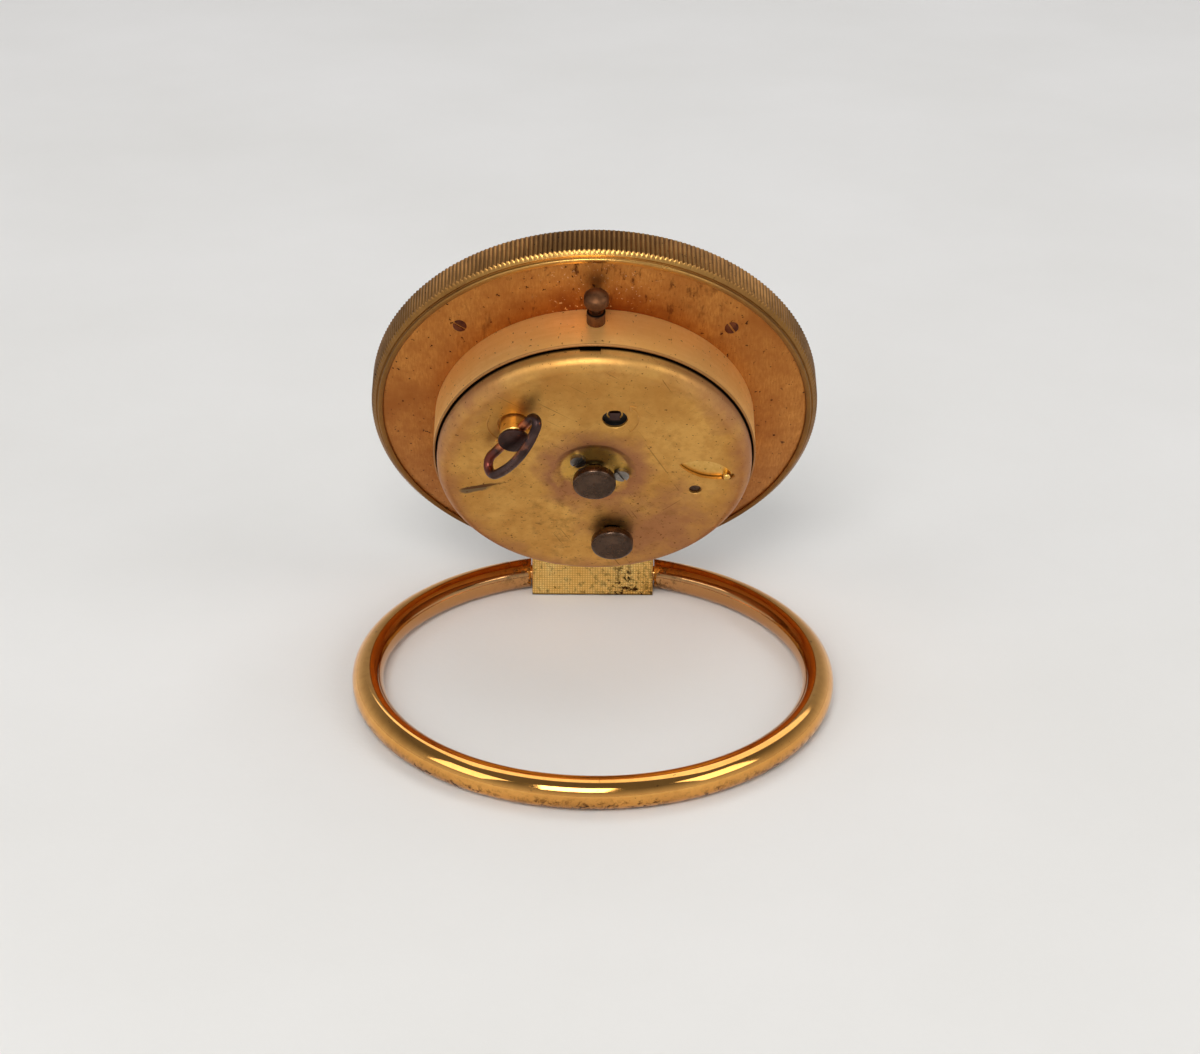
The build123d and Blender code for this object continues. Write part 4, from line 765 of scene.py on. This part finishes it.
window_left, window_top, window_right, window_bottom = (15.8, 2.5), (20.9, 3.6), (26.5, -0.8), (20.6, -1.1)
window_outline = (arc_through(window_left, window_top, window_right)
                  + arc_through(window_right, window_bottom, window_left))
regulator_tip = (balance_place[0] + regulator_reach * math.cos(regulator_angle),
                 balance_place[1] + regulator_reach * math.sin(regulator_angle))
cutters = [hole_cutter(alarm_place, alarm_hole_radius), hole_cutter(barrel_place, key_hole_radius),
           hole_cutter(winder_place, winder_hole_radius), hole_cutter(balance_place, small_hole_radius),
           hole_cutter(regulator_tip, small_hole_radius),
           slab("cutter", window_outline, cover_front - 1, cover_rear + 1, head)]
notch_top = cover_radius + 1.35
notch_outline = [(notch_left, notch_floor), (notch_right, notch_floor), (notch_right, notch_top),
                 (notch_left, notch_top)]
cutters.append(slab("cutter", notch_outline, cover_front - 1, notch_rear, head))
carve(cover_piece, cutters)
dress(cover_piece, cover_brass, "case", "cover_brass", "rear_cover")


def raised_arrow(name, place, radius, start, end):
    """Curved arrow pressed up out of the cover."""
    path = []
    for step in range(25):
        angle = math.radians(start + (end - start) * step / 24)
        path.append((radius * math.cos(angle), radius * math.sin(angle), 0))
    last = math.radians(end)
    lead = math.copysign(1.0, end - start)
    tip = Vector(path[-1]) + Vector((-math.sin(last), math.cos(last), 0)) * lead * 0.9
    barbs = []
    for side in (-0.75, 0.75):
        barbs.append(Vector(path[-1]) + Vector((math.cos(last), math.sin(last), 0)) * side)
    shaft = tube(name, path, arrow_radius, spot(*place, cover_rear), 10)
    dress(shaft, arrow_brass, "case", "cover_brass")
    point = tube(name + "_head", [barbs[0], tip, barbs[1]], arrow_radius, spot(*place, cover_rear), 10)
    dress(point, arrow_brass, "case", "cover_brass")


# Near-black pieces as painted shade: a dark sheet behind the notch and a dark tube round the alarm's winding
# square, so these openings show dark
pocket_left = notch_left - pocket_margin
pocket_right = notch_right + pocket_margin
pocket_outline = [(pocket_left, 28.2), (pocket_right, 28.2), (pocket_right, 28.6), (pocket_left, 28.6)]
pocket = slab("notch_shade_sheet", pocket_outline, 8.2, 10.6, head)
dress(pocket, hand_black, "case", "hand_black")
# Painted shade: a near-black tube round the winding square makes the hole show dark.
winder_shade_rows = [(1.5, 11.55), (2.75, 11.55), (2.75, 12.38), (2.55, 12.38), (2.55, 11.65), (1.5, 11.65)]
dress(lathe("winder_hole_shade", winder_shade_rows, spot(*winder_place), 64, True), hand_black, "case", "hand_black")

# Dark disc behind the small hole at the balance, painted shade so the hole shows dark
shade_disc_rows = [(0, 12.18), (1.5, 12.18), (1.55, 12.22), (1.5, 12.27), (0.5, 12.27), (0.35, 12.22), (0, 12.22)]
dress(lathe("balance_hole_shade", shade_disc_rows, spot(*balance_place), 64), dark_bronze, "case", "dark_bronze")

raised_arrow("winding_arrow", barrel_place, 5.0, 150, 232)
raised_arrow("alarm_arrow", winder_place, 4.4, -50, 40)

# Polished ring, cut off square beside the foot block
ring_shape = bmesh.new()
ring_sides = 64
ring_steps = 320
ring_rows = []
for side in range(ring_sides):
    turn = 2 * math.pi * side / ring_sides
    reach = ring_radius + tube_radius * math.cos(turn)
    start = math.asin(ring_end / reach)
    row = []
    for step in range(ring_steps + 1):
        angle = start + (2 * math.pi - 2 * start) * step / ring_steps
        row.append(ring_shape.verts.new((reach * math.sin(angle) * MM,
                                         (pivot_reach - reach * math.cos(angle)) * MM,
                                         (tube_radius + tube_radius * math.sin(turn)) * MM)))
    ring_rows.append(row)
for side in range(ring_sides):
    first, second = ring_rows[side], ring_rows[(side + 1) % ring_sides]
    for step in range(ring_steps):
        ring_shape.faces.new((first[step], first[step + 1], second[step + 1], second[step]))
for end in (0, ring_steps):
    ring_shape.faces.new([row[end] for row in ring_rows])
ring_bar = mesh_object("ring_bar", ring_shape, Matrix.Identity(4))
dress(ring_bar, ring_brass, "ring_stand", "ring_brass", "ring_tube")

# Two knobs with serrated stems
knob_rows = [(2.75, 13.5), (3.3, 13.9), (3.75, 14.22), (3.97, 14.38), (4.05, 14.6), (4.05, 15.72),
             (3.99, 15.95), (3.8, 16.14), (3.55, 16.26), (3.35, 16.3), (3.1, 16.28), (2.4, 16.24), (0, 16.22)]
stem_rows = [(2.0, 12.3), (2.0, 12.45, 1), (2.05, 12.95, 1), (2.2, 13.25, 1), (2.45, 13.38, 0.6)]
knobs = (("time_knob", (0, 0), "time_setter"), ("alarm_knob", alarm_place, "alarm_setter"))
for knob_name, place, body in knobs:
    knob = lathe(knob_name + "_turned", stem_rows + knob_rows, spot(*place), 256, False, 32, 0.22)
    dress(knob, dark_bronze, body, "dark_bronze", knob_name)

# Winding key: brass stem, dark flat head and a bowed wire loop through the stem
key_along = Vector((math.cos(key_angle), math.sin(key_angle), 0))
key_side = Vector((-math.sin(key_angle), math.cos(key_angle), 0))
key_back = Vector((0, 0, 1))
key_out = key_back * math.sin(bail_raise) - key_side * math.cos(bail_raise)
bail_half = bail_length / 2 - bail_wire_radius
narrow_centre = Vector((bail_half - bail_slide - bail_narrow_radius, bail_narrow_radius))
wide_centre = Vector((bail_wide_radius - bail_half - bail_slide, bail_wide_radius))
span = wide_centre - narrow_centre
narrow_gap = bail_bow_radius - bail_narrow_radius
wide_gap = bail_bow_radius - bail_wide_radius
share = (narrow_gap**2 - wide_gap**2 + span.length**2) / (2 * span.length**2)
sink = math.sqrt(narrow_gap**2 - (share * span.length)**2)
bow_centre = narrow_centre + span * share + Vector((-span.y, span.x)).normalized() * sink
narrow_turn = math.atan2(*reversed(narrow_centre - bow_centre))
wide_turn = math.atan2(*reversed(wide_centre - bow_centre))
bail_points = []
bends = ((narrow_centre, bail_narrow_radius, -math.pi / 2, narrow_turn, 16),
         (bow_centre, bail_bow_radius, narrow_turn, wide_turn, 24),
         (wide_centre, bail_wide_radius, wide_turn, math.pi * 1.5, 16))
for centre, radius, start, end, steps in bends:
    for step in range(steps):
        angle = start + (end - start) * step / steps
        along = centre.x + radius * math.cos(angle)
        out = centre.y + radius * math.sin(angle)
        bail_points.append(key_along * along + key_out * out)
bail_points.append(key_along * wide_centre.x)
bail = tube("key_loop_wire", bail_points, bail_wire_radius, spot(*barrel_place, key_level), 24, True)
dress(bail, loop_steel, "key_loop", "dark_steel", "key_bail")

stem_profile = [(1.2, 12.3), (2.6, 12.3), (2.6, 15.9), (2.45, 16.1), (2.45, 16.32), (1.0, 16.32)]
key_stem = lathe("key_stem", stem_profile, spot(*barrel_place), 96)
head_profile = [(0.6, 16.25), (2.4, 16.25), (2.5, 16.28), (2.8, 16.34), (2.9, 16.5), (2.9, 16.9),
                (2.84, 17.04), (2.7, 17.1), (0, 17.06)]
key_head = lathe("key_head", head_profile, spot(*barrel_place), 96)
across = key_along.cross(key_back)
bore_place = spot(*barrel_place, key_level) @ Matrix((key_along, across, -key_back)).transposed().to_4x4()
bore_place = bore_place @ Matrix.Rotation(math.pi / 2, 4, "Y")
bore_half = bail_length / 2
bore_rows = [(0, -bore_half), (bail_bore_radius, -bore_half), (bail_bore_radius, bore_half), (0, bore_half)]
carve(key_stem, [lathe("cutter", bore_rows, bore_place, 32)])
dress(key_stem, movement_brass, "winding_arbor", "movement_brass", "key_hub")
dress(key_head, dark_steel, "winding_arbor", "dark_steel")

# Alarm stop button on top of the drum
stop_place = spot(0, 0, 3.0) @ Matrix.Rotation(-math.pi / 2, 4, "X")
stop_rows = [(0, 24.6), (0.8, 24.6), (0.8, 34.2), (1.15, 34.6), (2.1, 34.95), (2.25, 35.15), (2.25, 36.45),
             (2.2, 36.7), (2.0, 36.95), (1.6, 37.2), (1.0, 37.45), (0.5, 37.58), (0, 37.6)]
stop_button = lathe("stop_button", stop_rows, stop_place, 96)
dress(stop_button, brown_bronze, "alarm_stop", "dark_bronze", "stop_plunger")
bush_rows = [(0.85, 28.95), (1.2, 28.95), (1.2, 30.0), (1.7, 30.0), (1.7, 32.7), (1.62, 32.92), (1.45, 33.0),
             (0.85, 33.0)]
stop_bush = lathe("stop_bush_turned", bush_rows, stop_place, 96, True)
dress(stop_bush, brown_bronze, "case", "dark_bronze", "stop_bush")
rim_rows = [(1.36, 33.0), (1.5, 32.96), (1.64, 32.86), (1.68, 32.9), (1.52, 33.06), (1.36, 33.08)]
dress(lathe("stop_bush_rim", rim_rows, stop_place, 96, True), sleeve_brass, "case", "sleeve_brass")

# Glass
glass_steps = 24
glass_rows = []
for step in range(glass_steps + 1):
    share = step / glass_steps
    glass_rows.append((glass_reach * share, glass_front - glass_rise * (1 - share**2)))
glass_rows += [(glass_rim, glass_front), (glass_rim, glass_rear)]
for step in range(glass_steps + 1):
    share = 1 - step / glass_steps
    glass_rows.append((glass_reach * share, glass_rear - glass_rise * (1 - share**2)))
dress(lathe("domed_glass", glass_rows, head, 192, True), clear_glass, "case", "clear_glass", "glass")

# Hands: blade, hub and, on the two that tell the time, a pale filling
for hand_name, level, length, width, angle, bore, paint, body in (
        ("minute_hand", -6.0, 30.0, 1.8, 150, 0.9, hand_black, "time_setter"),
        ("hour_hand", -5.3, 20.5, 2.4, 35, 1.5, hand_black, "hour_gear"),
        ("alarm_hand", -4.6, 17.0, 1.2, -90, 2.1, alarm_red, "alarm_gear")):
    place = spot(0, 0, level) @ Matrix.Rotation(math.radians(angle), 4, "Z")
    half = width / 2
    outer = bore + 0.8
    start = outer - 0.2
    blade = [(start, -half * 0.6), (length * 0.4, -half), (length, -half * 0.2), (length, half * 0.2),
             (length * 0.4, half), (start, half * 0.6)]
    dress(slab(hand_name + "_blade", blade, 0, 0.3, place, 0.06), paint, body, "hand_black", hand_name)
    tail = [(-5, -half), (-start, -half * 0.6), (-start, half * 0.6), (-5, half)]
    dress(slab(hand_name + "_tail", tail, 0, 0.3, place, 0.06), paint, body, "hand_black")
    hub_rows = [(bore, 0.3), (bore, 0.06), (bore + 0.06, 0), (outer - 0.06, 0), (outer, 0.06), (outer, 0.3)]
    dress(lathe(hand_name + "_hub", hub_rows, place, 64, True), paint, body, "hand_black")
    if paint is hand_black:
        filling = [(length * 0.3, -half * 0.45), (length * 0.42, -half * 0.62), (length * 0.92, -half * 0.12),
                   (length * 0.92, half * 0.12), (length * 0.42, half * 0.62), (length * 0.3, half * 0.45)]
        dress(slab(hand_name + "_filling", filling, -0.08, 0.05, place, 0.03), lume_paint, body, "dial_paint")

# Dial marks: plain numbers, minute track and dots
face = head @ Matrix.Translation((0, 0, dial_front * MM)) @ Matrix.Rotation(math.pi, 4, "Y")
for number in range(1, 13):
    angle = math.radians(90 - 30 * number)
    letters = bpy.data.curves.new(f"number_{number}", "FONT")
    letters.body = str(number)
    letters.size = number_size * MM
    letters.align_x = "CENTER"
    letters.align_y = "CENTER"
    letters.extrude = 0.02 * MM
    letters.offset = 0.1 * MM
    text = bpy.data.objects.new(f"number_{number}", letters)
    bpy.context.scene.collection.objects.link(text)
    bpy.context.view_layer.update()
    mesh = bpy.data.meshes.new_from_object(text)
    bpy.data.objects.remove(text)
    piece = bpy.data.objects.new(f"number_{number}", mesh)
    bpy.context.scene.collection.objects.link(piece)
    place = Vector((number_reach * math.cos(angle), number_reach * math.sin(angle), 0.02)) * MM
    piece.matrix_world = face @ Matrix.Translation(place)
    dress(piece, dial_ink, "case", "dial_paint")

track = bmesh.new()
for minute in range(60):
    angle = math.radians(6 * minute)
    low, wide = minute_mark if minute % 5 else hour_mark
    along = Vector((math.cos(angle), math.sin(angle), 0))
    across = Vector((-math.sin(angle), math.cos(angle), 0)) * wide / 2
    outer = along * track_reach
    corners = [along * low - across, outer - across, outer + across, along * low + across]
    bottom = [track.verts.new(corner * MM) for corner in corners]
    top = [track.verts.new((corner + Vector((0, 0, 0.03))) * MM) for corner in corners]
    track.faces.new(top)
    for index in range(4):
        after = (index + 1) % 4
        track.faces.new((bottom[index], bottom[after], top[after], top[index]))
dress(mesh_object("minute_track", track, face), dial_ink, "case", "dial_paint")
for hour in range(12):
    angle = math.radians(30 * hour)
    place = spot(dot_reach * math.cos(angle), dot_reach * math.sin(angle), dial_front)
    dot_rows = [(0, -0.16), (0.3, -0.15), (0.52, -0.1), (0.6, 0), (0, 0.02)]
    dress(lathe(f"hour_dot_{hour + 1}", dot_rows, place, 24), lume_paint, "case", "dial_paint")

# Floor, lights and world
floor_shape = bmesh.new()
bmesh.ops.create_grid(floor_shape, x_segments=2, y_segments=2, size=4)
floor = mesh_object("floor", floor_shape, Matrix.Identity(4))
cloth = Paint("cloth")
cloth_cloud = cloth.band(cloth.noise(9, 5.0), 0.3, 0.7)
# Painted light: the cloth is painted paler farther from the camera, where less lamp light reaches it.
cloth_far = cloth.band(cloth.reach(0, 400), 150, 800)
cloth_pale = cloth.blend(cloth_far, tone(224, 222, 218), tone(240, 238, 235))
cloth_grey = cloth.blend(cloth_far, tone(218, 216, 211), tone(234, 232, 228))
cloth.colour(cloth.blend(cloth_cloud, cloth_pale, cloth_grey))
cloth.roughness(cloth.band(cloth_cloud, 0.0, 1.0, 0.85, 0.95))
cloth.bump(cloth.noise(700, 3.0), 0.12, 0.0004)
floor.data.materials.append(cloth.material)


def softbox(name, place, target, size, power):
    """Rectangular lamp that looks at a point."""
    lamp = bpy.data.lights.new(name, "AREA")
    lamp.shape = "RECTANGLE"
    lamp.size = size[0]
    lamp.size_y = size[1]
    lamp.energy = power
    holder = bpy.data.objects.new(name, lamp)
    bpy.context.scene.collection.objects.link(holder)
    aim = Vector(target) - Vector(place)
    holder.matrix_world = Matrix.Translation(place) @ aim.to_track_quat("-Z", "Y").to_matrix().to_4x4()


# Places and sizes in metres, power in watts
lamp_target = (0, 0.03, 0.03)
lamps = (("key_light", (0.14, 0.9, 0.85), (0.55, 0.55), 8.3),
         ("right_light", (-0.9, 0.45, 0.75), (0.6, 0.6), 2.8),
         ("left_light", (0.9, 0.45, 0.75), (0.6, 0.6), 2.2),
         ("front_light", (-0.25, -1.1, 1.9), (2.2, 1.8), 17))
for lamp_name, lamp_place, lamp_size, lamp_power in lamps:
    softbox(lamp_name, lamp_place, lamp_target, lamp_size, lamp_power)

# Dim above and brighter near the horizon, as in a room
world = bpy.data.worlds.new("studio")
bpy.context.scene.world = world
world.use_nodes = True
sky = world.node_tree
direction = sky.nodes.new("ShaderNodeTexCoord")
height = sky.nodes.new("ShaderNodeSeparateXYZ")
sky.links.new(direction.outputs["Generated"], height.inputs[0])
fade = sky.nodes.new("ShaderNodeMapRange")
fade.inputs["From Min"].default_value = 0.1
fade.inputs["From Max"].default_value = 0.7
fade.inputs["To Min"].default_value = 0.66
fade.inputs["To Max"].default_value = 0.16
sky.links.new(height.outputs["Z"], fade.inputs["Value"])
sky.nodes["Background"].inputs["Color"].default_value = (0.95, 0.96, 1.0, 1)
sky.links.new(fade.outputs["Result"], sky.nodes["Background"].inputs["Strength"])

# Camera at the photograph's viewing angle
focal_pixels = 2500
image_width = 1200
camera_place = Vector((2.94, 448.66, 235.89)) * MM
azimuth, elevation, roll = (math.radians(value) for value in (-0.555, 26.395, 0.642))
forward = Vector((math.sin(azimuth) * math.cos(elevation), -math.cos(azimuth) * math.cos(elevation),
                  -math.sin(elevation)))
level = forward.cross(Vector((0, 0, 1))).normalized()
upward = level.cross(forward)
right = level * math.cos(roll) + upward * math.sin(roll)
over = upward * math.cos(roll) - level * math.sin(roll)
lens = bpy.data.cameras.new("camera")
sensor_width = 36
lens.sensor_width = sensor_width
lens.sensor_fit = "HORIZONTAL"
lens.lens = focal_pixels / image_width * sensor_width
lens.clip_start = 0.01
camera = bpy.data.objects.new("camera", lens)
bpy.context.scene.collection.objects.link(camera)
turn = Matrix((right, over, -forward)).transposed().to_4x4()
camera.matrix_world = Matrix.Translation(camera_place) @ turn
bpy.context.scene.camera = camera
bpy.context.scene.view_settings.view_transform = "Standard"
